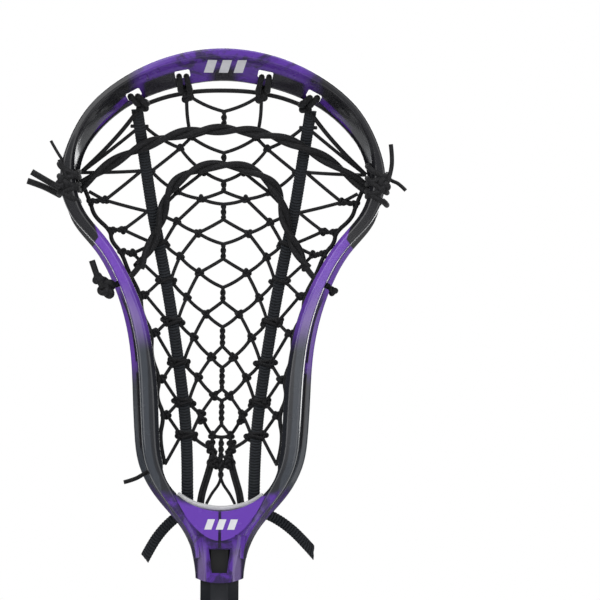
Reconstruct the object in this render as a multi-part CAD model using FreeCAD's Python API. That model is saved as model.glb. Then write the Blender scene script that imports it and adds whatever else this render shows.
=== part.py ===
"""Women's lacrosse stick: strung head on a composite shaft, built from its separate pieces.

Frame, in millimetres: +Z runs up the shaft towards the scoop, -Y is the open side that faces
the ball, +X is to the right when the open side is looked at. The origin is on the shaft's axis
at the lower lip of the head's socket, where the player's top hand holds the stick.
"""
import FreeCAD
import Part
import math
import os

from FreeCAD import Vector

os.makedirs("parts", exist_ok=True)

# ---- driving dimensions: shaft and butt ------------------------------------------------------
SHAFT_LENGTH = 813.0          # a 32 inch handle
SHAFT_WIDTH = 22.2            # across the flats, side to side: 7/8 inch
SHAFT_DEPTH = 25.4            # across the flats, front to back
SHAFT_CHAMFER = 6.0           # how far each sloping flat cuts in from the corner
SHAFT_WALL = 1.6
CAP_GRIP = 24.0               # how far the butt cap reaches up the handle
CAP_WALL = 2.0
CAP_BASE = 6.0
CAP_CLEARANCE = 0.08
CAP_FLANGE = 1.0              # how far the flange stands out of the cap
CAP_FLANGE_Z = (1.2, 4.4)     # its two faces, above the cap's foot
CAP_RIBS = 3
CAP_RIB_START = 5.0
CAP_RIB_PITCH = 5.0
CAP_RIB_WIDTH = 1.4
CAP_RIB_DEPTH = 0.7

# ---- driving dimensions: socket, throat and ball stop ----------------------------------------
SOCKET_DEPTH = 36.0
SOCKET_WALL = 2.9
SOCKET_CLEARANCE = 0.0        # the handle is a push fit, its flats against the socket's
SOCKET_X = SHAFT_WIDTH / 2 + SOCKET_WALL
SOCKET_Y = SHAFT_DEPTH / 2 + SOCKET_WALL
SOCKET_CORNER = 2.0           # rounding of the socket's eight edges
LIP_CURVE = 38.0              # radius of the lip's lower edge, seen from the front
LIP_HEIGHT = 5.0              # the curve is cut no higher than this
# How the socket flares into the throat: height, and how far the side, the front and the rear
# stand out from the socket's own.
THROAT_FLARE = [(0.0, 0.0, 0.0, 0.0), (9.0, 0.5, 0.0, 0.0), (18.0, 2.2, 0.1, 0.2),
                (26.0, 4.8, 0.1, 0.6), (34.0, 9.8, 0.4, 1.3), (42.0, 14.8, 0.6, 1.8),
                (51.0, 19.8, 0.8, 2.0)]
SHAFT_FOOT = SOCKET_DEPTH - SHAFT_LENGTH
THROAT_FRONT = SOCKET_Y + THROAT_FLARE[-1][2]
THROAT_REAR = SOCKET_Y + THROAT_FLARE[-1][3]
EDGE_RADIUS = 1.3             # rounding of the moulding's edges
PLATE_PROUD = 1.0             # the crescent plate stands this far out of the throat's front
PLATE_DEPTH = 12.0
PLATE_EDGE = [(0.0, 24.5), (12.0, 29.5), (21.0, 40.5), (26.0, 51.0)]   # its lower edge's x and z
SEAM_SLOTS = [(37.2, 40.6, 1.4, 0.9), (21.4, 29.5, 1.6, 1.9)]   # low, high, width and depth
FLUTE_RADIUS = 4.6
FLUTE_SINK = 1.5              # depth of the two flutes beside the window
FLUTE_X = 10.2
FLUTE_LENGTH = 30.0
FLUTE_LEAN = (0.10, -0.03)    # how much each flute drifts outward and forward on its way up
WINDOW_STEP = 0.9             # width and depth of the shallow step round the window
OPENING_EDGE = [(0.0, 41.8), (23.0, 49.8), (33.4, 66.0)]   # the U at the opening's foot
STOP_THICKNESS = 2.4
STOP_DEPTH = 24.0
STOP_FRONT = -11.0            # y of the strip's front edge
STOP_TOP = 52.0               # the strip's two ends
WINDOW_TOP_WIDTH = 12.5       # the tapered window in the front of the socket
WINDOW_FOOT_WIDTH = 8.7
WINDOW_Z = (5.8, 19.7)

# ---- driving dimensions: head screw ----------------------------------------------------------
SCREW_Z = 16.0
SCREW_RADIUS = 2.1
SCREW_HEAD_RADIUS = 4.0
SCREW_HEAD_HEIGHT = 2.6
SCREW_LENGTH = 16.0
SCREW_POINT = 4.0             # length of its tapered tip
SCREW_TIP_RADIUS = 0.3
SCREW_HEAD_ROUND = 1.1
SEAT_SINK = 0.8               # how deep the screw's head is let into the socket
SEAT_CLEARANCE = 0.3          # round the screw's head
SCREW_CLEARANCE = 0.06
DRIVE_WIDTH = 1.3             # the cross recess's slots
DRIVE_DEPTH = 1.6
DRIVE_REACH = 2.4

# ---- driving dimensions: stringing -----------------------------------------------------------
THONG_WIDTH = 6.6
THONG_TOP = 276.0
THONG_THICKNESS = 1.6
NET_THICKNESS = 1.2
NET_TOP = 277.0
LACE_RADIUS = 1.8             # shooting laces
STRING_RADIUS = 1.25          # top string and sidewall strings
TWIST_RADIUS = 2.1            # centre of a shooting lace from the pair's middle line
TWIST_PITCH = 43.0            # one whole turn of the pair
UPPER_LENGTH = 178.0          # the upper pair's middle line
LOWER_LENGTH = 190.0
UPPER_REACH = 79.0            # half of its span
UPPER_TOP = 264.5
UPPER_DROP = 30.2             # its ends lie this far below its middle
UPPER_FLATNESS = 2.1          # 2 makes its line a parabola, and more makes its middle flatter
THROAT_LACE_WIDTH = 4.2
THROAT_LACE_THICKNESS = 2.0
RUNWAY_STRING_RADIUS = 0.85
WRAP_STATION = 12             # the wraps lie on the wall's widest part
WRAP_LENGTH = 19.0
WRAP_THICKNESS = 1.9
WRAP_CLEARANCE = 0.1
LAYER_GAP = 0.12              # between one layer of stringing and the next
SHOOTING_GAP = THONG_THICKNESS / 2 + TWIST_RADIUS + LACE_RADIUS + LAYER_GAP + 0.4
SIDE_NET_GAP = 0.4            # between a side net and the thong beside it
POCKET_SAG = 33.0             # how far the pocket hangs behind a straight line, at its deepest

# ---- the head's outline and its depth ---------------------------------------------------------
# Right half of the outer edge, from the throat to the scoop. For each station: x, z, the width
# that the wall shows from the front, the front edge's y, the rear edge's y, and how far the
# wall's form has turned from an upright sidewall (0) to a sloping scoop (1).
STATIONS = [
    (15.6, 14.0, 4.6, -15.6, 15.6, 0.0),
    (20.2, 26.6, 7.4, -16.2, 16.6, 0.0),
    (32.4, 42.4, 11.0, -16.8, 18.0, 0.0),
    (41.5, 53.9, 13.5, -17.5, 20.0, 0.0),
    (48.2, 68.0, 14.8, -18.0, 22.5, 0.0),
    (51.0, 86.0, 15.4, -17.0, 24.5, 0.0),
    (52.2, 108.0, 15.6, -15.0, 26.0, 0.0),
    (53.4, 130.0, 14.3, -12.8, 27.0, 0.0),
    (57.2, 152.5, 13.0, -10.8, 27.8, 0.0),
    (65.1, 175.7, 11.0, -9.0, 28.0, 0.0),
    (76.6, 195.0, 10.2, -8.2, 27.0, 0.05),
    (88.7, 210.5, 10.0, -8.0, 25.5, 0.2),
    (95.1, 232.0, 10.2, -8.0, 23.0, 0.45),
    (91.0, 255.0, 11.2, -8.4, 20.0, 0.75),
    (78.6, 277.2, 14.4, -9.2, 16.5, 0.95),
    (58.4, 294.3, 16.4, -10.0, 13.5, 1.0),
    (32.0, 306.6, 18.7, -10.7, 11.6, 1.0),
]
SCOOP_TOP = (0.0, 311.6, 19.2, -11.0, 11.0, 1.0)

# Half-width between the sidewall strings, and between the thongs' centre lines, up the head.
WALL_LINE = [(46.0, 31.0), (65.5, 33.0), (94.5, 35.0), (120.6, 37.4), (146.7, 42.4),
             (168.8, 48.6), (182.7, 53.6), (201.8, 65.0), (219.2, 77.0), (236.0, 83.0),
             (250.0, 81.5), (268.0, 70.5), (288.0, 50.0)]
THONG_LINE = [(46.0, 19.4), (71.3, 19.9), (94.5, 21.3), (117.7, 24.2), (140.9, 27.6),
              (164.0, 31.3), (187.3, 35.7), (216.3, 41.6), (251.0, 47.0), (274.0, 50.6),
              (288.0, 52.0)]
# Right half of the lower shooting pair's middle line, from its top to the wall: x and z.
LOWER_LACE = [(0.0, 244.3), (12.5, 242.4), (23.0, 237.5), (30.5, 230.5), (34.6, 221.0),
              (36.8, 210.0), (40.8, 199.5), (45.8, 190.0), (49.4, 183.4)]
SIDEWALL_HEIGHTS = [229.0, 217.0, 202.0, 184.0, 168.0, 146.0, 121.0, 95.0, 66.0]
TOP_STRING = [(12.0, 15.4, 287.2), (25.0, 15.9, 285.2), (36.0, 16.8, 282.8), (44.6, 17.4, 279.4)]
CORNER_STRING = [(56.2, 16.6, 267.4), (62.0, 17.4, 260.4), (70.8, 19.0, 250.8), (80.4, 20.6, 241.6)]
POCKET_FOOT = (45.0, 15.0)    # z and y where the pocket's middle line meets the throat
POCKET_HEAD = (289.0, 11.5)   # and where it meets the scoop

SCOOP_SLOTS = [(24.2, 296.2, -11.0), (52.6, 284.2, -28.0)]   # x, z and slope of each string slot
SLOT_LENGTH = 8.8
SLOT_HEIGHT = 4.1
SLOT_CORNER = 0.9
SLOT_REACH = 70.0             # long enough to pass through the scoop's whole depth
WALL_WINDOWS = [(99.0, 42.0), (133.5, 18.0), (162.0, 22.0)]  # middle height and length of each window
WINDOW_RADIUS = 4.2
CUTTER_REACH = 3.0            # how far a cutter reaches past what it cuts
WINDOW_RAILS = (11.0, 8.0)    # what stays of the wall in front of a window and behind it
WINDOW_MARGIN = 0.6
WALL_HOLES = [84.0, 107.5, 131.5, 156.0, 177.0, 198.5, 213.0]   # string holes' heights
HOLE_RADIUS = 1.7

# What passes behind the throat. Each point is an x on the right side, the gap behind the throat's
# rear face, and z. The two tails are the thongs' free ends.
THONG_FOOT = [(19.4, 2.8, 46.5), (19.4, 3.7, 43.0)]
THROAT_LACE = [(4.2, 14.8, 76.0), (6.0, 11.6, 68.0), (8.6, 8.0, 59.0), (11.4, 4.4, 50.0),
               (12.0, 3.2, 44.0)]
RUNWAY_END = [(0.9, 8.0, 57.0), (3.0, 6.0, 54.0), (6.0, 3.8, 50.0), (8.4, 3.0, 45.0)]
LEFT_TAIL = [(16.0, 5.8, 42.4), (22.8, 6.1, 39.2), (29.2, 6.3, 34.4),
             (35.2, 5.8, 28.0), (40.2, 4.8, 20.6), (44.2, 3.8, 12.8)]
RIGHT_TAIL = [(16.0, 5.8, 42.4), (23.6, 6.1, 41.0), (31.6, 6.3, 38.2),
              (39.6, 6.0, 33.2), (47.2, 5.0, 26.2), (54.8, 3.8, 17.6)]

# Short cut ends and knots outside the walls.
LACE_END_RADII = (1.85, 1.3)  # on the left, on the right
LEFT_LACE_ENDS = [
    [(-98.6, 1.0, 230.8), (-105.0, -0.8, 234.4), (-111.6, -1.6, 238.4)],
    [(-98.6, 5.6, 226.8), (-106.2, 4.4, 230.6), (-114.2, 3.4, 233.2)],
]
RIGHT_LACE_ENDS = [
    [(98.9, -4.2, 241.4), (99.0, -4.6, 248.8), (97.6, -5.0, 256.2)],
    [(98.9, 2.0, 235.0), (103.0, 1.0, 233.4), (106.6, 0.4, 229.4)],
]
KNOT_RADII = (4.6, 2.3)       # on the left, on the right
LEFT_KNOT = (-67.2, -2.0, 174.4)
LEFT_KNOT_END = [(-70.8, -3.4, 181.0), (-73.6, -3.8, 187.0)]
RIGHT_KNOT = (65.0, 2.0, 170.2)
STRING_END = [(-44.9, 5.0, 62.6), (-50.0, 4.2, 59.4), (-56.4, 3.4, 57.7)]


# ---- helpers ----------------------------------------------------------------------------------
def along(table, z, column=1):
    """A value read from a table of (z, value, ...) rows, smoothly between the rows."""
    rows = sorted(table)
    z = min(max(z, rows[0][0]), rows[-1][0])
    i = max(k for k in range(len(rows) - 1) if rows[k][0] <= z)
    z0, z1 = rows[i][0], rows[i + 1][0]
    v0, v1 = rows[i][column], rows[i + 1][column]
    before = rows[i - 1] if i else rows[i]
    after = rows[i + 2] if i + 2 < len(rows) else rows[i + 1]
    slope0 = (v1 - before[column]) / (z1 - before[0])
    slope1 = (after[column] - v0) / (after[0] - z0)
    u = (z - z0) / (z1 - z0)
    h = z1 - z0
    return ((2 * u**3 - 3 * u**2 + 1) * v0 + (u**3 - 2 * u**2 + u) * h * slope0
            + (3 * u**2 - 2 * u**3) * v1 + (u**3 - u**2) * h * slope1)


def loop(points):
    """A closed wire of straight edges."""
    return Part.makePolygon(list(points) + [points[0]])


def soft_loop(points, radius):
    """A closed wire of straight edges whose corners are rounded as far as the edges allow."""
    edges = []
    count = len(points)
    ends = []
    for i, corner in enumerate(points):
        back, on = points[i - 1] - corner, points[(i + 1) % count] - corner
        turn = math.pi - back.getAngle(on)
        reach = min(radius * math.tan(turn / 2), 0.4 * back.Length, 0.4 * on.Length)
        first, last = corner + back.normalize() * reach, corner + on.normalize() * reach
        arc_radius = reach / math.tan(turn / 2)
        inward = ((first + last) * 0.5 - corner).normalize()
        middle = corner + inward * (math.hypot(reach, arc_radius) - arc_radius)
        ends.append((first, middle, last))
    for i, (first, middle, last) in enumerate(ends):
        edges.append(Part.Arc(first, middle, last).toShape())
        edges.append(Part.LineSegment(last, ends[(i + 1) % count][0]).toShape())
    return Part.Wire(edges)


def stack(wires, ruled):
    """A solid through a row of closed wires."""
    solid = Part.makeLoft(wires, True, ruled)
    if solid.Volume < 0:
        solid.reverse()
    return solid


def octagon(half_x, half_y, chamfer, z, centre_y=0.0):
    """The handle's section: a rectangle with four sloping flats."""
    cx, cy = half_x - chamfer, half_y - chamfer
    corners = [(half_x, -cy), (half_x, cy), (cx, half_y), (-cx, half_y),
               (-half_x, cy), (-half_x, -cy), (-cx, -half_y), (cx, -half_y)]
    return loop([Vector(x, y + centre_y, z) for x, y in corners])


def prism(wire, direction):
    """A flat wire swept straight."""
    return Part.Face(wire).extrude(direction)


def mirrored(shape):
    """The same piece on the head's other side."""
    return shape.mirror(Vector(0, 0, 0), Vector(1, 0, 0))


def route(points):
    """Straight runs joined by tangent arcs, each as large as its two runs allow."""
    edges = []
    start = points[0]
    for here, corner, after in zip(points, points[1:], points[2:]):
        came, goes = corner - here, after - corner
        turn = came.getAngle(goes)
        if turn < 1e-4:
            continue
        reach = 0.45 * min(came.Length, goes.Length)
        radius = reach / math.tan(turn / 2)
        first = corner - came.normalize() * reach
        last = corner + goes.normalize() * reach
        inward = (first + last) * 0.5 - corner
        centre_gap = math.hypot(reach, radius)
        middle = corner + inward.normalize() * (centre_gap - radius)
        if (first - start).Length > 1e-6:
            edges.append(Part.LineSegment(start, first).toShape())
        edges.append(Part.Arc(first, middle, last).toShape())
        start = last
    edges.append(Part.LineSegment(start, points[-1]).toShape())
    return Part.Wire(edges)


def bend_radii(points):
    """The radius that each corner of a route allows."""
    points = [Vector(*p) for p in points]
    radii = []
    for here, corner, after in zip(points, points[1:], points[2:]):
        came, goes = corner - here, after - corner
        reach = 0.45 * min(came.Length, goes.Length)
        radii.append(round(reach / math.tan(came.getAngle(goes) / 2), 1))
    return radii


def tube(points, radius):
    """A round lace along a route."""
    points = [Vector(*p) for p in points]
    path = route(points)
    ring = Part.Wire(Part.makeCircle(radius, points[0], points[1] - points[0]))
    solid = path.makePipeShell([ring], True, False)
    if solid.Volume < 0:
        solid.reverse()
    return solid


def strap(points, width, thickness):
    """A flat lace: its width lies across the route, level with the row of points."""
    points = [Vector(*p) for p in points]
    wires = []
    for i, p in enumerate(points):
        ahead = (points[min(i + 1, len(points) - 1)] - points[max(i - 1, 0)]).normalize()
        across = ahead.cross(Vector(0, 1, 0)).normalize() * (width / 2)
        through = across.cross(ahead).normalize() * (thickness / 2)
        wires.append(loop([p + across + through, p - across + through,
                           p - across - through, p + across - through]))
    return stack(wires, True)


# ---- the pocket's shape -----------------------------------------------------------------------
def rear_edge(z):
    """The y of the wall's rear edge at a height."""
    return along([(s[1], s[4]) for s in STATIONS + [SCOOP_TOP]], z)


def pocket_y(x, z):
    """The y of the stringing at a place: deepest on the middle line, shallow at the walls."""
    foot_z, foot_y = POCKET_FOOT
    head_z, head_y = POCKET_HEAD
    u = min(max((z - foot_z) / (head_z - foot_z), 0.0), 1.0)
    middle = foot_y + (head_y - foot_y) * u + POCKET_SAG * math.sin(math.pi * u)
    edge = min(rear_edge(z) - 2.0, middle)
    share = min(abs(x) / along(WALL_LINE, z), 1.0)
    return edge + (middle - edge) * (1 - share * share)


def spread(first, last, count):
    """Evenly spaced numbers, both ends included."""
    return [first + (last - first) * i / (count - 1) for i in range(count)]


# ---- head frame -------------------------------------------------------------------------------
def wall_section(width, front, rear, turned):
    """The wall's section as (outward, y) pairs: a front rail, a web and a rear rail, which
    turns into the scoop's lip and sloping plate."""
    side = [(-5.5, front), (-12.4, front + 0.6), (-15.0, front + 4.0), (-14.0, front + 9.0),
            (-10.6, front + 11.0), (-6.6, rear - 8.0), (-8.2, rear - 6.0), (-7.6, rear),
            (-0.8, rear), (0.0, rear - 6.0), (-3.6, rear - 8.0), (-7.6, front + 11.0),
            (-4.8, front + 6.0)]
    side = [(n * width / 15.0, y) for n, y in side]
    scoop = [(-0.6, front + 0.3), (-4.6, front), (-6.2, front + 2.5), (-8.0, front + 5.5),
             (-9.5, front + 7.5), (-16.5, rear - 5.5), (-19.0, rear - 3.0), (-19.7, rear),
             (-16.0, rear + 0.8), (-14.0, rear - 0.8), (-12.5, rear - 3.2), (-4.5, front + 11.0),
             (0.0, front + 5.0)]
    scoop = [(n * width / 19.7, y) for n, y in scoop]
    mixed = [(a[0] + (b[0] - a[0]) * turned, a[1] + (b[1] - a[1]) * turned)
             for a, b in zip(side, scoop)]
    outer, inner = max(n for n, _ in mixed), min(n for n, _ in mixed)
    return [((n - outer) * width / (outer - inner), y) for n, y in mixed]


def full_outline():
    """Every station from the left end of the throat, over the scoop, to the right end."""
    left = [(-s[0],) + s[1:] for s in STATIONS]
    return left + [SCOOP_TOP] + STATIONS[::-1]


def outline_frames():
    """For each station: its place and its outward direction, square to the outer edge."""
    stations = full_outline()
    curve = Part.BSplineCurve()
    curve.interpolate([Vector(s[0], 0, s[1]) for s in stations])
    frames = []
    for s in stations:
        place = Vector(s[0], 0, s[1])
        tangent = curve.tangent(curve.parameter(place))[0]
        frames.append((s, place, Vector(-tangent.z, 0, tangent.x)))
    return frames


def wall_loop(station, place, outward, grow=0.0):
    """The wall's section as a wire at its station; grow makes a plain ring round it."""
    pairs = wall_section(*station[2:])
    if grow:
        low_n, high_n = min(p[0] for p in pairs) - grow, max(p[0] for p in pairs) + grow
        low_y, high_y = min(p[1] for p in pairs) - grow, max(p[1] for p in pairs) + grow
        pairs = [(high_n, low_y), (low_n, low_y), (low_n, high_y), (high_n, high_y)]
    points = [place + outward * n + Vector(0, y, 0) for n, y in pairs]
    return loop(points) if grow else soft_loop(points, EDGE_RADIUS)


def opening_arc(shrink=0.0, top=80.0):
    """The U at the foot of the opening, as a closed wire in the plane y = 0."""
    (_, low), (bend_x, bend_z), (end_x, end_z) = OPENING_EDGE
    bend_x, bend_z, end_x = bend_x - 0.8 * shrink, bend_z + 0.6 * shrink, end_x - shrink
    points = [Vector(-end_x, 0, end_z), Vector(-bend_x, 0, bend_z), Vector(0, 0, low + shrink),
              Vector(bend_x, 0, bend_z), Vector(end_x, 0, end_z)]
    curve = Part.BSplineCurve()
    curve.interpolate(points)
    left, right = points[0], points[-1]
    sides = [Part.LineSegment(right, Vector(right.x, 0, top)).toShape(),
             Part.LineSegment(Vector(right.x, 0, top), Vector(left.x, 0, top)).toShape(),
             Part.LineSegment(Vector(left.x, 0, top), left).toShape()]
    return Part.Wire([curve.toShape()] + sides)


def throat_block():
    """The socket and the flared throat, before anything is cut out of them."""
    wires = []
    for z, side, front, rear in THROAT_FLARE:
        half_x, half_y, centre = SOCKET_X + side, SOCKET_Y + (front + rear) / 2, (rear - front) / 2
        corners = octagon(half_x, half_y, SHAFT_CHAMFER, z, centre).OrderedVertexes
        wires.append(soft_loop([v.Point for v in corners], SOCKET_CORNER))
    return stack(wires, False)


def lip_cutter():
    """What the curved lower edge of the socket's lip leaves out."""
    span = 2 * SOCKET_X + 4.0
    depth = 2 * SOCKET_Y + 4.0
    block = Part.makeBox(span, depth, LIP_HEIGHT + 1.0, Vector(-span / 2, -depth / 2, -1.0))
    curve = Part.makeCylinder(LIP_CURVE, depth, Vector(0, -depth / 2, LIP_CURVE), Vector(0, 1, 0))
    return block.cut(curve)


def throat_plate():
    """The crescent on the throat's front, under the ball stop."""
    half = [Vector(x, 0, z) for x, z in PLATE_EDGE]
    lower = Part.BSplineCurve()
    lower.interpolate([Vector(-p.x, 0, p.z) for p in half[:0:-1]] + half)
    top = Part.LineSegment(half[-1], Vector(-half[-1].x, 0, half[-1].z)).toShape()
    front = Vector(0, -THROAT_FRONT - PLATE_PROUD, 0)
    plate = prism(Part.Wire([lower.toShape(), top]), Vector(0, PLATE_DEPTH, 0))
    return plate.translated(front)


def flute(side):
    """A shallow channel beside the window, which fades out under the crescent."""
    foot = Vector(side * FLUTE_X, FLUTE_SINK - SOCKET_Y - FLUTE_RADIUS, -2.0)
    outward, forward = FLUTE_LEAN
    return Part.makeCylinder(FLUTE_RADIUS, FLUTE_LENGTH, foot, Vector(side * outward, forward, 1))


def mould_slot(low, high, width, depth):
    """A shallow rounded slot on the middle line of the throat's front."""
    front = Vector(0, depth - THROAT_FRONT - PLATE_PROUD, 0)
    radius = width / 2
    ends = [Part.makeCylinder(radius, 8.0, front + Vector(0, 0, z), Vector(0, -1, 0))
            for z in (low + radius, high - radius)]
    body = Part.makeBox(width, 8.0, high - low - width, front + Vector(-radius, -8.0, low + radius))
    return body.fuse(ends)


def wall_at(z):
    """The right wall's width, front y, rear y, place and outward direction at a height."""
    table = [s[1:] for s in STATIONS if s[0] > 0 and s[1] <= 232.0]
    width, front, rear = (along(table, z, column) for column in (1, 2, 3))
    edge = [(s[1], s[0]) for s in STATIONS if s[1] <= 232.0]
    place = Vector(along(edge, z), 0, z)
    slope = (along(edge, z + 1) - along(edge, z - 1)) / 2
    return width, front, rear, place, Vector(1, 0, -slope).normalize()


def window_cutter(z, length):
    """A long rounded slot through the wall's web, square to the wall."""
    width, front, rear, place, outward = wall_at(z)
    along_wall = outward.cross(Vector(0, 1, 0)).normalize()
    mid_y = (front + WINDOW_RAILS[0] + rear - WINDOW_RAILS[1]) / 2
    centre = place + Vector(0, mid_y, 0)
    half = length / 2 - WINDOW_RADIUS
    radius = min(WINDOW_RADIUS, (rear - front - sum(WINDOW_RAILS)) / 2 - WINDOW_MARGIN)
    start = centre - outward * (width + CUTTER_REACH)
    ends = [Part.makeCylinder(radius, width + 2 * CUTTER_REACH, start + along_wall * side * half, outward)
            for side in (-1, 1)]
    a, b = start - along_wall * half, start + along_wall * half
    rise = Vector(0, radius, 0)
    middle = prism(loop([a - rise, b - rise, b + rise, a + rise]), outward * (width + 2 * CUTTER_REACH))
    return ends + [middle]


def string_hole(z):
    """A hole through the wall's rear rail for the sidewall string."""
    width, _, rear, place, outward = wall_at(z)
    start = place - outward * (width + 1.0) + Vector(0, rear - 3.2, 0)
    return Part.makeCylinder(HOLE_RADIUS, width + 3.0, start, outward)


def slot_cutter(x, z, slope):
    """A string slot through the scoop, open from front to back, its corners a little rounded."""
    a, b = SLOT_LENGTH / 2, SLOT_HEIGHT / 2
    corners = [Vector(-a, 0, -b), Vector(a, 0, -b), Vector(a, 0, b), Vector(-a, 0, b)]
    slot = prism(soft_loop(corners, SLOT_CORNER), Vector(0, SLOT_REACH, 0))
    slot.rotate(Vector(0, 0, 0), Vector(0, 1, 0), -slope)
    slot.translate(Vector(x, -SLOT_REACH / 2, z))
    return slot


def window_prism(grow, inner):
    """The window's tapered outline, from a depth of inner outwards to the front."""
    top, foot = WINDOW_TOP_WIDTH / 2 + grow, WINDOW_FOOT_WIDTH / 2 + grow
    low, high = WINDOW_Z[0] - grow, WINDOW_Z[1] + grow
    outline = loop([Vector(-foot, -inner, low), Vector(foot, -inner, low),
                    Vector(top, -inner, high), Vector(-top, -inner, high)])
    return prism(outline, Vector(0, -40, 0))


def head_frame():
    frames = outline_frames()
    rim = stack([wall_loop(s, p, n) for s, p, n in frames], False)
    body = rim.fuse([throat_block(), throat_plate()])
    cutters = [prism(opening_arc(), Vector(0, 80, 0)).translated(Vector(0, -40, 0))]
    cutters.append(shaft_solid(SOCKET_CLEARANCE, -1.0, SOCKET_DEPTH))
    cutters.append(lip_cutter())
    cutters.append(window_prism(0.0, 0.0))
    cutters.append(window_prism(WINDOW_STEP, SOCKET_Y - WINDOW_STEP))
    cutters.append(Part.makeCylinder(SCREW_RADIUS + SCREW_CLEARANCE, 30.0,
                                     Vector(0, 0, SCREW_Z), Vector(0, 1, 0)))
    cutters.append(Part.makeCylinder(SCREW_HEAD_RADIUS + SEAT_CLEARANCE, 10.0,
                                     Vector(0, screw_seat(), SCREW_Z), Vector(0, 1, 0)))
    cutters += [flute(-1), flute(1)]
    cutters += [mould_slot(*sizes) for sizes in SEAM_SLOTS]
    for z, length in WALL_WINDOWS:
        for piece in window_cutter(z, length):
            cutters += [piece, mirrored(piece)]
    for z in WALL_HOLES:
        hole = string_hole(z)
        cutters += [hole, mirrored(hole)]
    for x, z, slope in SCOOP_SLOTS:
        cutters += [slot_cutter(x, z, slope), slot_cutter(-x, z, -slope)]
    return body.cut(cutters)


# ---- shaft, screw and butt cap -----------------------------------------------------------------
def shaft_solid(grow, low, high):
    """The handle's outer form between two heights, grown by a clearance."""
    wire = octagon(SHAFT_WIDTH / 2 + grow, SHAFT_DEPTH / 2 + grow, SHAFT_CHAMFER + 0.6 * grow, low)
    return prism(wire, Vector(0, 0, high - low))


def shaft():
    tube_form = shaft_solid(0.0, SHAFT_FOOT, SOCKET_DEPTH)
    bore = shaft_solid(-SHAFT_WALL, SHAFT_FOOT - 1.0, SOCKET_DEPTH + 1.0)
    pilot = Part.makeCylinder(SCREW_RADIUS + SCREW_CLEARANCE, 30.0,
                              Vector(0, 0, SCREW_Z), Vector(0, 1, 0))
    return tube_form.cut([bore, pilot])


def screw_seat():
    """The y of the face that the screw's head bears on."""
    return SOCKET_Y - SEAT_SINK


def head_screw():
    seat = screw_seat() + SCREW_CLEARANCE
    shank = Part.makeCylinder(SCREW_RADIUS, SCREW_LENGTH - SCREW_POINT,
                              Vector(0, seat - SCREW_LENGTH + SCREW_POINT, SCREW_Z), Vector(0, 1, 0))
    point = Part.makeCone(SCREW_TIP_RADIUS, SCREW_RADIUS, SCREW_POINT,
                          Vector(0, seat - SCREW_LENGTH, SCREW_Z), Vector(0, 1, 0))
    head = Part.makeCylinder(SCREW_HEAD_RADIUS, SCREW_HEAD_HEIGHT,
                             Vector(0, seat, SCREW_Z), Vector(0, 1, 0))
    rim = [e for e in head.Edges if abs(e.BoundBox.YMin - seat - SCREW_HEAD_HEIGHT) < 0.01
           and e.BoundBox.YLength < 0.01]
    head = head.makeFillet(SCREW_HEAD_ROUND, rim)
    crown = seat + SCREW_HEAD_HEIGHT - DRIVE_DEPTH
    slot = Part.makeBox(2 * DRIVE_REACH, 2 * DRIVE_DEPTH, DRIVE_WIDTH,
                        Vector(-DRIVE_REACH, crown, SCREW_Z - DRIVE_WIDTH / 2))
    upright = slot.rotated(Vector(0, 0, SCREW_Z), Vector(0, 1, 0), 90)
    return shank.fuse([point, head]).cut([slot, upright])


def butt_cap():
    top = SHAFT_FOOT + CAP_GRIP
    foot = SHAFT_FOOT - CAP_BASE
    outer = shaft_solid(CAP_CLEARANCE + CAP_WALL, foot, top)
    flange = shaft_solid(CAP_CLEARANCE + CAP_WALL + CAP_FLANGE,
                         foot + CAP_FLANGE_Z[0], foot + CAP_FLANGE_Z[1])
    hollow = shaft_solid(CAP_CLEARANCE, SHAFT_FOOT, top + CUTTER_REACH)
    grooves = []
    for i in range(CAP_RIBS):
        low = SHAFT_FOOT + CAP_RIB_START + i * CAP_RIB_PITCH
        band = shaft_solid(CAP_CLEARANCE + CAP_WALL + CUTTER_REACH, low, low + CAP_RIB_WIDTH)
        core = shaft_solid(CAP_CLEARANCE + CAP_WALL - CAP_RIB_DEPTH, low, low + CAP_RIB_WIDTH)
        grooves.append(band.cut(core))
    return outer.fuse(flange).cut([hollow] + grooves)


# ---- soft pieces -------------------------------------------------------------------------------
def ball_stop():
    """A foam strip glued round the foot of the opening."""
    band = prism(opening_arc(), Vector(0, STOP_DEPTH, 0))
    inner = prism(opening_arc(STOP_THICKNESS, 90.0), Vector(0, STOP_DEPTH, 0))
    reach = OPENING_EDGE[-1][0]
    below = Part.makeBox(2 * reach, STOP_DEPTH, STOP_TOP, Vector(-reach, 0, 0))
    return band.cut(inner).common(below).translated(Vector(0, STOP_FRONT, 0))


def behind_throat(points, side):
    """Points given as x, gap behind the throat's rear face and z, on one side of the head."""
    return [(side * x, THROAT_REAR + gap, z) for x, gap, z in points]


def thong(side):
    """One flat thong, from its scoop slot down the pocket to the back of the throat."""
    heights = spread(THONG_TOP, 54.0, 18)
    points = [(side * along(THONG_LINE, z), pocket_y(along(THONG_LINE, z), z), z) for z in heights]
    points += behind_throat(THONG_FOOT, side)
    return strap(points, THONG_WIDTH, THONG_THICKNESS)


def net_panel(inner, outer, heights, columns):
    """A thin panel of net between two lines, lying just behind the thongs."""
    wires = []
    for z in heights:
        xs = spread(inner(z), outer(z), columns)
        front = THONG_THICKNESS / 2 + LAYER_GAP
        face = [Vector(x, pocket_y(x, z) + front, z) for x in xs]
        back = [p + Vector(0, NET_THICKNESS, 0) for p in reversed(face)]
        wires.append(loop(face + back))
    return stack(wires, True)


def runway_net():
    edge = THONG_WIDTH / 2
    return net_panel(lambda z: edge - along(THONG_LINE, z) - 2.0,
                     lambda z: along(THONG_LINE, z) - edge + 2.0, spread(56.0, NET_TOP, 15), 7)


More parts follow.
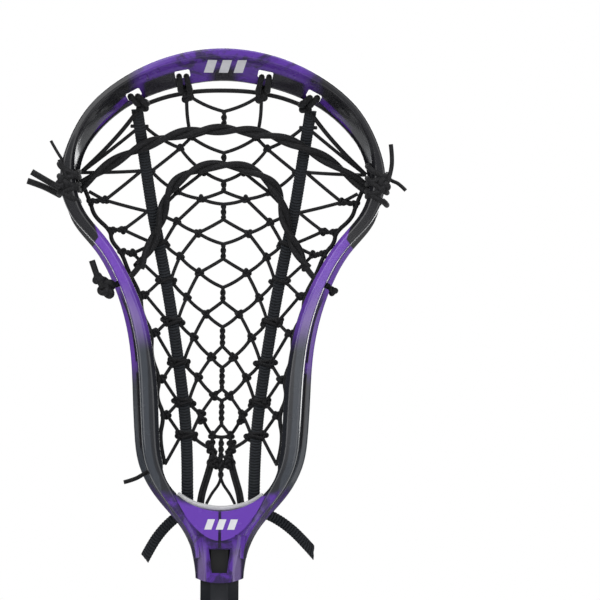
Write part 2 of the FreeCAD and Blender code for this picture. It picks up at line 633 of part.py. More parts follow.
def side_net(side):
    panel = net_panel(lambda z: along(THONG_LINE, z) + THONG_WIDTH / 2 + SIDE_NET_GAP,
                      lambda z: along(WALL_LINE, z) - STRING_RADIUS - 0.6,
                      spread(70.0, 240.0, 12), 3)
    return panel if side > 0 else mirrored(panel)


def sidewall_string(side):
    points = [(side * along(WALL_LINE, z), pocket_y(along(WALL_LINE, z), z), z)
              for z in SIDEWALL_HEIGHTS]
    return tube(points, STRING_RADIUS)


def top_string():
    """The string laced across the scoop's slots, behind its rear edge."""
    points = [(-x, y, z) for x, y, z in reversed(TOP_STRING)] + TOP_STRING
    return tube(points, STRING_RADIUS)


def corner_string(side):
    """The heavier string from the wrap on the wall up to the thong's top."""
    return tube([(side * x, y, z) for x, y, z in CORNER_STRING], STRING_RADIUS)


def twisted_lace(middle_line, length, phase):
    """One lace of a twisted pair that follows a middle line given by a share from 0 to 1."""
    turns = length / TWIST_PITCH
    count = int(round(turns * 8)) + 1
    points = []
    for i in range(count):
        u = i / (count - 1)
        here = Vector(*middle_line(u))
        ahead = Vector(*middle_line(min(u + 0.01, 1.0))) - Vector(*middle_line(max(u - 0.01, 0.0)))
        across = ahead.cross(Vector(0, 1, 0)).normalize()
        angle = 2 * math.pi * turns * u + phase
        offset = across * math.cos(angle) + Vector(0, 1, 0) * math.sin(angle)
        points.append(here + offset * TWIST_RADIUS)
    return tube([tuple(p) for p in points], LACE_RADIUS)


def upper_line(u):
    """The upper shooting pair: a low arch from wall to wall."""
    x = UPPER_REACH * (2 * u - 1)
    z = UPPER_TOP - UPPER_DROP * abs(2 * u - 1) ** UPPER_FLATNESS
    return x, pocket_y(x, z) - SHOOTING_GAP, z


def lower_line(u):
    """The lower shooting pair: an upside-down U between the walls."""
    reach = abs(2 * u - 1)
    steps = list(enumerate(LOWER_LACE))
    share = reach * (len(LOWER_LACE) - 1)
    x = math.copysign(along([(i, p[0]) for i, p in steps], share), u - 0.5)
    z = along([(i, p[1]) for i, p in steps], share)
    return x, pocket_y(x, z) - SHOOTING_GAP, z


def throat_lace(side):
    """The doubled lace that draws the runway's foot to the throat."""
    return strap(behind_throat(THROAT_LACE, side), THROAT_LACE_WIDTH, THROAT_LACE_THICKNESS)


def runway_end():
    """The runway's own string, split into two ends at the throat."""
    return [tube(behind_throat(RUNWAY_END, side), RUNWAY_STRING_RADIUS) for side in (-1, 1)]


def rail_wrap(wall, side):
    """The laces bound round the wall where the shooting pair and top string are tied off."""
    station, place, outward = wall[WRAP_STATION]
    run = outward.cross(Vector(0, 1, 0)).normalize()
    ring = prism(wall_loop(station, place, outward, WRAP_THICKNESS), run * WRAP_LENGTH)
    hole = prism(wall_loop(station, place, outward, WRAP_CLEARANCE), run * WRAP_LENGTH)
    band = ring.cut(hole).translated(run * (-WRAP_LENGTH / 2))
    return band if side > 0 else mirrored(band)


def lace_ends(routes, radius):
    """Short cut ends of lace that stand out from a tie."""
    return Part.makeCompound([tube(points, radius) for points in routes])


def lace_knot(place, radius, end):
    """A pulled-tight knot beside the wall, with its short free end."""
    ball = Part.makeSphere(radius, Vector(*place))
    return ball.fuse(tube([place] + end, LACE_RADIUS * 0.9)) if end else ball


def main():
    frames = outline_frames()
    right = frames[len(STATIONS) + 1:][::-1]
    frame = head_frame()
    pieces = {
        "head_frame": frame,
        "shaft": shaft(),
        "head_screw": head_screw(),
        "butt_cap": butt_cap(),
        "ball_stop_pad": ball_stop(),
        "top_string": top_string(),
        "runway_net": runway_net(),
        "runway_end_strings": Part.makeCompound(runway_end()),
    }
    pieces["left_shooting_lace_ends"] = lace_ends(LEFT_LACE_ENDS, LACE_END_RADII[0])
    pieces["right_shooting_lace_ends"] = lace_ends(RIGHT_LACE_ENDS, LACE_END_RADII[1])
    pieces["left_lace_knot"] = lace_knot(LEFT_KNOT, KNOT_RADII[0], LEFT_KNOT_END)
    pieces["right_lace_knot"] = lace_knot(RIGHT_KNOT, KNOT_RADII[1], [])
    pieces["left_string_end"] = tube(STRING_END, STRING_RADIUS)
    for name, side in (("left", -1), ("right", 1)):
        pieces[f"{name}_thong"] = thong(side)
        pieces[f"{name}_side_net"] = side_net(side)
        pieces[f"{name}_corner_string"] = corner_string(side)
        pieces[f"{name}_sidewall_string"] = sidewall_string(side)
        pieces[f"{name}_throat_lace"] = throat_lace(side)
        pieces[f"{name}_rail_wrap"] = rail_wrap(right, side).cut(frame)
    for name, side, points in (("left", -1, LEFT_TAIL), ("right", 1, RIGHT_TAIL)):
        tail = behind_throat(points, side)
        pieces[f"{name}_thong_tail"] = strap(tail, THONG_WIDTH, THONG_THICKNESS)
        print(name, "tail's bend radii", bend_radii(tail))
    for name, line, length in (("upper", upper_line, UPPER_LENGTH),
                               ("lower", lower_line, LOWER_LENGTH)):
        pieces[f"{name}_shooting_lace_a"] = twisted_lace(line, length, 0.0)
        pieces[f"{name}_shooting_lace_b"] = twisted_lace(line, length, math.pi)
    for name, shape in pieces.items():
        shape.exportStep(f"parts/{name}.step")
        print(name, shape.isValid(), len(shape.Solids), round(shape.Volume, 1))


main()
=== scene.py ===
# %% [markdown]
# # A strung women's lacrosse stick
# A lacrosse head is one hard moulding with a pocket of cord laced into it. The hard parts come from
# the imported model, so here they only get their finish. Everything laced is modelled here as real
# cord, because a pocket is judged by its cords, knots and flat thongs.

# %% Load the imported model
import math

import bmesh
import bpy
from mathutils import Matrix, Vector
from mathutils.bvhtree import BVHTree


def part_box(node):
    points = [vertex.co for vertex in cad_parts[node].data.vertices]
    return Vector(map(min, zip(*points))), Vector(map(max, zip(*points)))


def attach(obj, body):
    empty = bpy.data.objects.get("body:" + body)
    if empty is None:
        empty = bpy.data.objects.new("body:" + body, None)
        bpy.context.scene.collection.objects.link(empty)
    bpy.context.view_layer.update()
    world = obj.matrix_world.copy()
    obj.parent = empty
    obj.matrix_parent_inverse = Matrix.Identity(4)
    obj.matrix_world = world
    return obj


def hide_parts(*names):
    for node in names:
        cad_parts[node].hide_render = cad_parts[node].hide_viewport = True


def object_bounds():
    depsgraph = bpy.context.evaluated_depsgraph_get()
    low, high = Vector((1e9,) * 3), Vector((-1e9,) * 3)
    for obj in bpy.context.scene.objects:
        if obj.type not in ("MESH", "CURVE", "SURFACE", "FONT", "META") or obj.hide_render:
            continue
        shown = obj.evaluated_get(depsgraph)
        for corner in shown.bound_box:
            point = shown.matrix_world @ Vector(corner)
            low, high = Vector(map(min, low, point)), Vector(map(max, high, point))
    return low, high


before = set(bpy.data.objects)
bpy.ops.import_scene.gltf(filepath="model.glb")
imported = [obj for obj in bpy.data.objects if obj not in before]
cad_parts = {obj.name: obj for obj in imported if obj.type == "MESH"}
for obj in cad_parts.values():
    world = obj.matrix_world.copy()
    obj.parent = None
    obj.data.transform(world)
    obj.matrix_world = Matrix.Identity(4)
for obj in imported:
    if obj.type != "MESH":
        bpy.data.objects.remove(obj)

cad_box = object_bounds()
STICK = "stick"
BOTH_SIDES = (("left", -1), ("right", 1))
MM = 0.001

# %% [markdown]
# ## Camera
# The stick is looked at square on from its open side. A long lens from far away keeps the walls of
# the head from spreading apart, and a very small roll lets the head lean a little to the right.

# %% Camera
SENSOR = 0.036
VIEW_WIDTH = 0.350
DISTANCE = 4.2
ROLL = math.radians(0.5)
AIM = Vector((0.0455, 0.0, 0.1650))
camera_data = bpy.data.cameras.new("studio_camera")
camera_data.sensor_width = SENSOR * 1000
camera_data.lens = SENSOR * 1000 * DISTANCE / VIEW_WIDTH
camera_data.clip_end = 20.0
camera = bpy.data.objects.new("studio_camera", camera_data)
bpy.context.collection.objects.link(camera)
turn = Matrix.Rotation(math.radians(90), 4, "X") @ Matrix.Rotation(ROLL, 4, "Z")
camera.matrix_world = Matrix.Translation(AIM + Vector((0, -DISTANCE, 0))) @ turn
bpy.context.scene.camera = camera
print("lens", round(camera_data.lens), "mm")

# %% [markdown]
# ## The pocket's surface
# All of the stringing hangs on one surface: shallow at the walls, deepest down the middle. One
# function gives its depth anywhere, so thongs, nets and laces agree with each other. Sizes are in
# millimetres, and `at` turns a place on the surface into metres.

# %% Lines that the stringing follows
# Each row is a height and a value: the wall's rear edge, the sidewall string and the thong.
REAR_EDGE = [(14.0, 15.6), (26.6, 16.6), (42.4, 18.0), (53.9, 20.0), (68.0, 22.5), (86.0, 24.5),
             (108.0, 26.0), (130.0, 27.0), (152.5, 27.8), (175.7, 28.0), (195.0, 27.0),
             (210.5, 25.5), (232.0, 23.0), (255.0, 20.0), (277.5, 16.5), (295.0, 13.5),
             (307.3, 11.6), (312.2, 11.0)]
WALL_LINE = [(46.0, 31.0), (65.5, 33.0), (94.5, 35.0), (120.6, 37.4), (146.7, 42.4),
             (168.8, 48.6), (182.7, 53.6), (201.8, 65.0), (219.2, 77.0), (236.0, 83.0),
             (250.0, 81.5), (268.0, 70.5), (288.0, 50.0)]
THONG_LINE = [(46.0, 19.4), (71.3, 19.9), (94.5, 21.3), (117.7, 24.2), (140.9, 27.6),
              (164.0, 31.3), (187.3, 35.7), (216.3, 41.6), (251.0, 47.0), (274.0, 50.6),
              (288.0, 52.0)]
POCKET_FOOT = (45.0, 15.0)
POCKET_HEAD = (289.0, 11.5)
POCKET_SAG = 33.0


def along(table, z):
    """A value read from rows of (z, value), smoothly between the rows."""
    z = min(max(z, table[0][0]), table[-1][0])
    i = max(k for k in range(len(table) - 1) if table[k][0] <= z)
    (z0, v0), (z1, v1) = table[i], table[i + 1]
    before = table[max(i - 1, 0)]
    after = table[min(i + 2, len(table) - 1)]
    slope0 = (v1 - before[1]) / (z1 - before[0])
    slope1 = (after[1] - v0) / (after[0] - z0)
    h = z1 - z0
    u = (z - z0) / h
    return ((2 * u**3 - 3 * u**2 + 1) * v0 + (u**3 - 2 * u**2 + u) * h * slope0
            + (3 * u**2 - 2 * u**3) * v1 + (u**3 - u**2) * h * slope1)


def pocket_y(x, z):
    """How far back the pocket hangs at a place, in millimetres."""
    (foot_z, foot_y), (head_z, head_y) = POCKET_FOOT, POCKET_HEAD
    u = min(max((z - foot_z) / (head_z - foot_z), 0.0), 1.0)
    middle = foot_y + (head_y - foot_y) * u + POCKET_SAG * math.sin(math.pi * u)
    edge = min(along(REAR_EDGE, z) - 2.0, middle)
    share = min(abs(x) / along(WALL_LINE, z), 1.0)
    return edge + (middle - edge) * (1 - share * share)


def at(x, z, behind=0.0):
    """A point on the pocket, in metres."""
    return Vector((x, pocket_y(x, z) + behind, z)) * MM


def metres(route, side=1):
    """A route's points in metres; side -1 mirrors the route to the left."""
    return [Vector((side * x, y, z)) * MM for x, y, z in route]


def spread(first, last, count):
    """Evenly spaced numbers, both ends included."""
    return [first + (last - first) * i / (count - 1) for i in range(count)]


print("deepest point", round(max(pocket_y(0, z) for z in range(50, 280, 5)), 1), "mm")

# %% [markdown]
# ## Helpers for materials
# Each finish is a Principled shader with a few procedural nodes on Object coordinates, so that
# nothing slides when the camera moves. The first helper adds nodes to any tree and sets their
# inputs by name, and the second starts a material, because the surround needs nodes too.

# %% Node helper


class Nodes:
    """Short ways to add nodes to a tree."""

    def __init__(self, tree):
        self.tree = tree

    def add(self, kind, inputs=None, **settings):
        node = self.tree.nodes.new("ShaderNode" + kind)
        for key, value in settings.items():
            setattr(node, key, value)
        for key, value in (inputs or {}).items():
            self.put(value, node.inputs[key])
        return node

    def put(self, value, socket):
        if isinstance(value, bpy.types.NodeSocket):
            self.tree.links.new(value, socket)
        else:
            socket.default_value = value

    def math(self, operation, a, b=0.0):
        return self.add("Math", {0: a, 1: b}, operation=operation).outputs[0]

    def step(self, value, low, high):
        """0 below low, 1 above high, smooth between; low above high turns it round."""
        node = self.add("MapRange", {0: value, 1: low, 2: high}, interpolation_type="SMOOTHSTEP")
        return node.outputs[0]

    def times(self, a, b):
        return self.math("MULTIPLY", a, b)

    def plus(self, a, b, share):
        """a, and a share of b."""
        return self.add("Math", {0: b, 1: share, 2: a}, operation="MULTIPLY_ADD").outputs[0]

    def mix(self, share, a, b):
        node = self.add("Mix", data_type="RGBA")
        for value, socket in ((share, node.inputs[0]), (a, node.inputs[6]), (b, node.inputs[7])):
            self.put(value, socket)
        return node.outputs[2]


print("node helper ready")

# %% Finish helper
BUMP_DISTANCE = 0.0002


class Finish(Nodes):
    """A material under construction, with its shader and its patterns."""

    def __init__(self, name, **settings):
        self.material = bpy.data.materials.new(name)
        self.material.use_nodes = True
        super().__init__(self.material.node_tree)
        self.shader = self.tree.nodes["Principled BSDF"]
        for key, value in settings.items():
            self.shader.inputs[key.replace("_", " ")].default_value = value

    def place(self):
        return self.add("TexCoord").outputs["Object"]

    def noise(self, scale, detail=3.0, roughness=0.5, distortion=0.0):
        inputs = {"Vector": self.place(), "Scale": scale, "Detail": detail,
                  "Roughness": roughness, "Distortion": distortion}
        return self.add("TexNoise", inputs).outputs[0]

    def bump(self, height, strength):
        node = self.add("Bump", {"Height": height, "Strength": strength, "Distance": BUMP_DISTANCE})
        self.tree.links.new(node.outputs[0], self.shader.inputs["Normal"])

    def colour(self, value):
        self.put(value, self.shader.inputs["Base Color"])

    def rough(self, pattern, low, high):
        """Roughness between two values, wherever the pattern is low or high."""
        node = self.add("MapRange", {0: pattern, 3: low, 4: high})
        self.put(node.outputs[0], self.shader.inputs["Roughness"])


def dress(node, finish):
    """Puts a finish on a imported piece."""
    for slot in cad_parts[node].material_slots:
        slot.link = "OBJECT"
        slot.material = finish.material


print("finish helper ready")

# %% [markdown]
# ## The head's plastic
# The moulding is one glossy plastic, dyed in zones: purple on the scoop's middle, black towards its
# corners, bright purple down the upper walls, graphite on the lower walls, and purple clouded with
# black at the throat. A zone is a mask, read from height, width, depth or a slanting line, and a
# noise moves some of its borders a little. Faces that are seen edge on stay black. Other masks paint
# light and shade into the colour: a pale painted highlight on the front faces of the purple walls,
# painted shade along their inner edge, black painted shade in the groove along the lower walls and
# in the slot down the throat's middle, and painted shade on the throat's side-facing faces.

# %% The head's dyes, painted highlight and shade, and outer edge
BRIGHT_PURPLE = (0.128, 0.046, 0.350, 1)
HIGHLIGHT_PURPLE = (0.158, 0.112, 0.270, 1)
DEEP_PURPLE = (0.072, 0.019, 0.245, 1)
PLATE_PURPLE = (0.108, 0.034, 0.335, 1)
LAVENDER = (0.165, 0.115, 0.275, 1)
CLOUD_AND_SHADE_BLACK = (0.006, 0.005, 0.010, 1)
GLOSS_BLACK = (0.008, 0.008, 0.010, 1)
GRAPHITE = (0.034, 0.039, 0.048, 1)
# The outer edge's half-width at a few heights, in metres, and the range that both are read in.
EDGE = [(0.060, 0.0452), (0.068, 0.0482), (0.086, 0.0510), (0.108, 0.0522), (0.130, 0.0534),
        (0.1525, 0.0572), (0.1757, 0.0651)]
EDGE_RANGE = 0.2


def edge_line(f, up):
    """The outer edge's half-width at a height, as a curve node."""
    curve = f.add("FloatCurve", {"Value": f.math("DIVIDE", up, EDGE_RANGE)})
    line = curve.mapping.curves[0]
    line.points[0].location = (0.0, EDGE[0][1] / EDGE_RANGE)
    line.points[1].location = (1.0, EDGE[-1][1] / EDGE_RANGE)
    for height, half_width in EDGE:
        line.points.new(height / EDGE_RANGE, half_width / EDGE_RANGE)
    curve.mapping.update()
    return f.times(curve.outputs[0], EDGE_RANGE)


print("widest place of the lower walls", round(2000 * max(width for _, width in EDGE), 1), "mm")

# %% Where the head's zones are read from
DRIFT = 0.016  # how far the noise moves a border
ARCH_BEND = 4.8  # how the scoop's underside bends up, for each metre squared
STREAK_LEAN = 0.322  # how much steeper the streak on the underside runs
OUTER_SLOPE = -0.305  # the side border of the black at the wall's top
CORNER_SLOPE = 1.32  # and its lower border
REAR_LIFT = 0.024  # purple reaches this much lower at the wall's rear
BOWL_BEND = -37.0  # the crescent plate's lower edge
THROAT_SLOPE = -0.25  # the border between throat and walls


def head_places(f):
    """What the zones of the head are read from: places and directions of the surface."""
    across, depth, up = f.add("SeparateXYZ", {0: f.place()}).outputs
    facing = f.add("SeparateXYZ", {0: f.add("TexCoord").outputs["Normal"]}).outputs
    reach = f.math("ABSOLUTE", across)
    square = f.times(reach, reach)
    drift = f.math("SUBTRACT", f.noise(38.0, 4.0), 0.5)
    height = f.plus(up, drift, DRIFT)
    arch = f.plus(up, square, ARCH_BEND)
    return {
        "reach": reach, "depth": depth, "up": up, "height": height, "arch": arch,
        "width": f.plus(reach, drift, DRIFT),
        "inward": f.math("SUBTRACT", edge_line(f, up), reach),
        "streak": f.plus(arch, reach, STREAK_LEAN),
        "outside": f.plus(reach, up, OUTER_SLOPE),
        "above": f.plus(up, reach, CORNER_SLOPE),
        "wall": f.plus(height, f.step(depth, 0.002, 0.010), REAR_LIFT),
        "bowl": f.plus(up, square, BOWL_BEND),
        "throat": f.plus(height, reach, THROAT_SLOPE),
        "sideways": f.math("ABSOLUTE", facing[0]),
        "frontal": f.math("ABSOLUTE", facing[1]),
        "cloud": f.noise(62.0, 5.0, 0.62, 1.4),
        "patch": f.noise(52.0, 5.0, 0.6, 1.2),
    }


print("noise moves a border by", DRIFT * 500, "mm at most")

# %% Head plastic


def head_plastic():
    f = Finish("head_plastic", Coat_Weight=0.35, Coat_Roughness=0.10, Specular_IOR_Level=0.35)
    places = head_places(f)

    def zone(**limits):
        """A mask. Each pair of numbers is a border, from where it is 0 to where it is 1."""
        mask = 1.0
        for name, borders in limits.items():
            for outer, inner in zip(borders[::2], borders[1::2]):
                mask = f.times(f.step(places[name], outer, inner), mask)
        return mask

    def either(a, b):
        return f.math("MAXIMUM", a, b)

    def without(a, b):
        return f.times(a, f.math("SUBTRACT", 1.0, b))

    # The scoop's middle is clouded purple, and its underside keeps a streak of it further out.
    streak = zone(streak=(0.3130, 0.3142, 0.3182, 0.3168), reach=(0.050, 0.058, 0.077, 0.072))
    scoop = either(zone(width=(0.058, 0.045), height=(0.246, 0.262)), f.times(streak, 0.9))
    lip = zone(arch=(0.3025, 0.3005), reach=(0.021, 0.027, 0.050, 0.045))
    low_middle = zone(reach=(0.012, 0.004), height=(0.3015, 0.2975))
    patches = either(either(f.times(zone(patch=(0.53, 0.64)), 0.75), low_middle), lip)
    deep = f.mix(patches, DEEP_PURPLE, CLOUD_AND_SHADE_BLACK)

    # Black comes down each wall's outer side to a sharp corner, and purple climbs its inner side.
    wall = without(zone(wall=(0.134, 0.156), up=(0.2150, 0.2115)),
                   zone(outside=(0.0106, 0.0115), above=(0.2952, 0.2964)))
    cloud = zone(cloud=(0.42, 0.60))
    # The front faces low on the purple walls turn pale purple-grey: a painted highlight.
    middle = zone(height=(0.182, 0.152), depth=(0.004, -0.004))
    bright = f.mix(f.times(cloud, 0.25), BRIGHT_PURPLE, DEEP_PURPLE)
    bright = f.mix(f.times(middle, 0.85), bright, HIGHLIGHT_PURPLE)
    dark = f.mix(zone(height=(0.150, 0.168)), GRAPHITE, GLOSS_BLACK)
    upper = f.mix(wall, f.mix(scoop, dark, deep), bright)

    # The inner edge is painted shade. The groove, which a bridge parts, is black painted shade.
    inner_edge_shade = zone(inward=(0.0096, 0.0106), up=(0.176, 0.168))
    inner_shade_colour = f.mix(zone(up=(0.134, 0.150)), GLOSS_BLACK, DEEP_PURPLE)
    upper = f.mix(f.times(inner_edge_shade, 0.8), upper, inner_shade_colour)
    groove_shade = zone(inward=(0.0024, 0.0029, 0.0054, 0.0049), up=(0.074, 0.080, 0.172, 0.160))
    groove_shade = without(groove_shade, zone(up=(0.121, 0.123, 0.129, 0.127)))
    # Faces seen edge on are black.
    edge_on = zone(frontal=(0.45, 0.28))
    upper = f.mix(either(f.times(edge_on, 0.9), groove_shade), upper, GLOSS_BLACK)

    # The throat is clouded too; painted shade darkens its side faces. The crescent plate is plain.
    clouds_and_shade = either(f.times(cloud, 0.75), zone(sideways=(0.30, 0.80)))
    throat = f.mix(clouds_and_shade, DEEP_PURPLE, CLOUD_AND_SHADE_BLACK)
    flutes = zone(reach=(0.0070, 0.0086, 0.0132, 0.0118), up=(0.026, 0.012))
    throat = f.mix(f.times(flutes, 0.8), throat, LAVENDER)
    plate = zone(bowl=(0.0246, 0.0249), depth=(-0.0140, -0.0160))
    throat = f.mix(plate, throat, PLATE_PURPLE)
    # The slot down the throat's middle is painted black inside: painted shade.
    slot_shade = zone(reach=(0.0011, 0.0006), up=(0.0200, 0.0210))
    throat = f.mix(f.times(slot_shade, 0.85), throat, CLOUD_AND_SHADE_BLACK)
    f.colour(f.mix(zone(throat=(0.0405, 0.0465)), throat, upper))
    f.rough(f.noise(120.0, 2.0), 0.20, 0.32)
    f.bump(f.noise(500.0, 2.0), 0.03)
    return f


dress("head_frame", head_plastic())
print("head plastic on", "head_frame")

# %% [markdown]
# ## Handle, cap and screw
# The handle is a blue-black composite tube with a faint weave under a satin lacquer. The weave is
# two crossed waves, far weaker than the colour itself. The rubber cap is matt and grainy, and the
# blackened screw is the only metal.

# %% Handle, cap and screw finishes
WEAVE_SCALE = 21.0
WEAVE_ANGLE = 0.9


def handle_composite():
    f = Finish("handle_composite", Coat_Weight=0.15, Coat_Roughness=0.25, Specular_IOR_Level=0.3)
    waves = []
    for angle in (WEAVE_ANGLE, -WEAVE_ANGLE):
        turned = f.add("Mapping", {"Vector": f.place(), "Rotation": (0.0, angle, 0.0)})
        waves.append(f.add("TexWave", {"Vector": turned.outputs[0], "Scale": WEAVE_SCALE,
                                       "Distortion": 0.6}, bands_direction="Z").outputs["Fac"])
    weave = f.times(*waves)
    share = f.times(f.math("ADD", weave, f.noise(30.0, 3.0)), 0.5)
    open_part = f.mix(share, (0.0070, 0.0078, 0.0100, 1), (0.0130, 0.0142, 0.0175, 1))
    height = f.add("SeparateXYZ", {0: f.place()}).outputs[2]
    # Inside the head's socket the tube is painted nearly black: painted shade.
    f.colour(f.mix(f.step(height, 0.000, 0.004), open_part, (0.0015, 0.0015, 0.0018, 1)))
    f.rough(weave, 0.30, 0.42)
    f.bump(f.math("ADD", weave, f.noise(900.0, 2.0)), 0.12)
    return f


def cap_rubber():
    f = Finish("cap_rubber", Specular_IOR_Level=0.35)
    f.colour(f.mix(f.noise(90.0, 4.0), (0.010, 0.010, 0.011, 1), (0.020, 0.020, 0.022, 1)))
    f.rough(f.noise(300.0, 3.0), 0.62, 0.85)
    f.bump(f.noise(1600.0, 3.0), 0.35)
    return f


def screw_steel():
    f = Finish("screw_steel", Metallic=1.0)
    f.colour(f.mix(f.noise(700.0, 3.0), (0.10, 0.10, 0.11, 1), (0.19, 0.19, 0.20, 1)))
    f.rough(f.noise(1500.0, 2.0), 0.28, 0.48)
    f.bump(f.noise(2500.0, 2.0), 0.10)
    return f


dress("shaft", handle_composite())
dress("butt_cap", cap_rubber())
dress("head_screw", screw_steel())
print("handle, cap and screw dressed")

# %% [markdown]
# ## Cord finishes
# Lace, net cord and thong are all black polyester braid. A braid's stitches are about a millimetre
# long, so the laces get a fine cellular bump with painted highlight on the stitches and painted shade
# between them, and the flat thongs, which are wide enough to show their ribs, get chevrons that
# follow their own UV map, painted lighter on the ribs and darker between them.

# %% Cord finishes
LACE_CREVICE_SHADE = (0.0035, 0.0035, 0.0042, 1)
LACE_STITCH_HIGHLIGHT = (0.0125, 0.0125, 0.0145, 1)
THONG_RIB_SHADE = (0.0020, 0.0026, 0.0036, 1)
THONG_RIB_HIGHLIGHT = (0.0105, 0.0130, 0.0170, 1)
RIB_PITCH = 1.75 * MM
RIB_LEAN = 0.24  # how far a rib lags at the strap's edges, as a share of the distance


def braid(name, cells):
    f = Finish(name, Sheen_Weight=0.06, Sheen_Roughness=0.5, Specular_IOR_Level=0.22)
    stitch = f.add("TexVoronoi", {"Vector": f.place(), "Scale": cells})
    # Each stitch is painted lighter at its crown and darker in its crevices: painted highlight and
    # shade.
    f.colour(f.mix(f.step(stitch.outputs["Distance"], 0.1, 0.7), LACE_STITCH_HIGHLIGHT, LACE_CREVICE_SHADE))
    f.rough(f.noise(500.0), 0.55, 0.80)
    f.bump(f.math("SUBTRACT", 1.0, stitch.outputs["Distance"]), 0.8)
    return f


def thong_braid():
    f = Finish("black_thong", Sheen_Weight=0.05, Specular_IOR_Level=0.22)
    length, across, _ = f.add("SeparateXYZ", {0: f.add("TexCoord").outputs["UV"]}).outputs
    chevron = f.plus(length, f.math("ABSOLUTE", across), RIB_LEAN)
    # Rib crowns are painted lighter and the hollows between them darker: painted highlight and shade.
    share = f.step(f.math("PINGPONG", chevron, RIB_PITCH / 2), 0.0002, 0.0006)
    f.colour(f.mix(share, THONG_RIB_SHADE, THONG_RIB_HIGHLIGHT))
    f.rough(f.noise(800.0), 0.42, 0.68)
    f.bump(f.plus(share, f.noise(3000.0), 0.3), 1.0)
    return f


LACE = braid("black_lace", 950.0)
NET = braid("black_net", 1200.0)
THONG = thong_braid()
print("cord finishes", LACE.material.name, NET.material.name, THONG.material.name)

# %% [markdown]
# ## Helpers for pieces and cord
# A round cord is a curve with a round bevel. One curve can hold many cords, each with its own
# thickness, so a whole net is one piece, and it becomes a mesh once all its cords are laid. Knots
# are real ones in small: a trefoil, which is an overhand knot with its ends joined, pulled tight
# until it reads as a bead.

# %% Piece helpers


def mesh_of(bm, name, finish):
    """Turns a bmesh into a mesh with one finish."""
    mesh = bpy.data.meshes.new(name)
    bm.to_mesh(mesh)
    bm.free()
    mesh.materials.append(finish.material)
    return mesh


def show(name, mesh, smooth=True):
    """Puts a mesh in the scene."""
    for face in mesh.polygons:
        face.use_smooth = smooth
    piece = bpy.data.objects.new(name, mesh)
    bpy.context.collection.objects.link(piece)
    return piece


def thicken(piece, thickness, rounding=0.0, segments=2):
    """Thickens a sheet to both sides; rounding softens its edges, as a share of the thickness."""
    solid = piece.modifiers.new("thickness", "SOLIDIFY")
    solid.thickness = thickness
    solid.offset = 0.0
    if rounding:
        edge = piece.modifiers.new("soft edge", "BEVEL")
        edge.width = thickness * rounding
        edge.segments = segments
        edge.limit_method = "ANGLE"


print("piece helpers ready")

# %% Cord helpers


def cord_set(name, finish, thickest, sides=2):
    """An empty curve object that takes cords."""
    curve = bpy.data.curves.new(name, "CURVE")
    curve.dimensions = "3D"
    curve.bevel_depth = thickest
    curve.bevel_resolution = sides
    curve.use_fill_caps = True
    curve.materials.append(finish.material)
    return bpy.data.objects.new(name, curve)


def knit(cords, replaced=()):
    """Turns a finished set of cords into one mesh piece, which stands for what it replaces."""
    mesh = bpy.data.meshes.new_from_object(cords)
    name, curve = cords.name, cords.data
    bpy.data.objects.remove(cords)
    bpy.data.curves.remove(curve)
    piece = show(name, mesh)
    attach(piece, STICK)
    if replaced:
        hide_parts(*replaced)
    return piece


def lay(piece, points, radius, closed=False, fine=4):
    """Adds one smooth cord through the points, which are in metres."""
    spline = piece.data.splines.new("NURBS")
    spline.points.add(len(points) - 1)
    for point, place in zip(spline.points, points):
        point.co = (*place, 1.0)
        point.radius = radius / piece.data.bevel_depth
    spline.order_u = 3
    spline.use_endpoint_u = not closed
    spline.use_cyclic_u = closed
    spline.resolution_u = fine


KNOT_POINTS = 12


def knot(piece, centre, size, radius, spin=0.0, lean=0.0):
    """A tight overhand knot of the given half-width about a centre."""
    turned = Matrix.Rotation(lean, 3, "Z") @ Matrix.Rotation(spin, 3, "Y")
    points = []
    for i in range(KNOT_POINTS):
        t = 2 * math.pi * i / KNOT_POINTS
        loop = Vector((math.sin(t) + 2 * math.sin(2 * t), 1.3 * math.sin(3 * t),
                       math.cos(t) - 2 * math.cos(2 * t)))
        points.append(centre + turned @ loop * (size / 3.0))
    lay(piece, points, radius, closed=True, fine=3)


def pair(piece, start, end, radius, gap, turns, phase=0.0):
    """Two cords twisted round each other between two points."""
    run = end - start
    side = run.cross(Vector((0, 1, 0))).normalized()
    deep = run.cross(side).normalized()
    count = max(5, int(turns * 8) + 1)
    for strand in (0.0, math.pi):
        points = []
        for i in range(count):
            u = i / (count - 1)
            angle = 2 * math.pi * turns * u + strand + phase
            pinch = gap * min(1.0, 6 * u + 0.25, 6 * (1 - u) + 0.25)
            points.append(start + run * u + (side * math.cos(angle) + deep * math.sin(angle)) * pinch)
        lay(piece, points, radius)


print("cord helpers ready")

# %% [markdown]
# ## Runway net
# Between the thongs runs a knotted net of six-sided cells. Down its middle go twisted pairs. From
# each pair's foot two cords spread to the inner knots, close again on the next pair, and pass on
# through the outer knots to wraps on the thongs. One row of the table makes one row of cells.

# %% Runway net
# Each row, in millimetres: the pair's top and foot, the inner knot's x and z, the outer knot's x
# and z, and the height of the wrap on the thong beside it.
RUNWAY = [
    (275.0, 267.0, 19.0, 260.0, 25.5, 253.5, 266.0),
    (251.0, 245.4, 11.6, 240.0, 27.0, 228.0, 240.0),
    (234.4, 228.5, 13.2, 224.0, 27.4, 210.5, 216.3),
    (221.0, 212.0, 14.8, 204.0, 25.4, 190.0, 197.6),
    (197.6, 188.9, 14.0, 180.7, 21.2, 166.0, 176.0),
    (172.0, 163.8, 9.8, 156.5, 17.0, 142.5, 152.0),
    (148.7, 137.4, 6.4, 130.9, 14.2, 119.0, 127.7),
    (124.8, 112.2, 4.6, 108.4, 12.2, 97.5, 104.4),
]
LAST_PAIR = (105.4, 91.5)
LAST_KNOT = (5.2, 85.0)
FOOT_PAIR = (84.0, 58.5)
FOOT_WRAP = 85.0
CLUSTER = (4.6, 73.5)
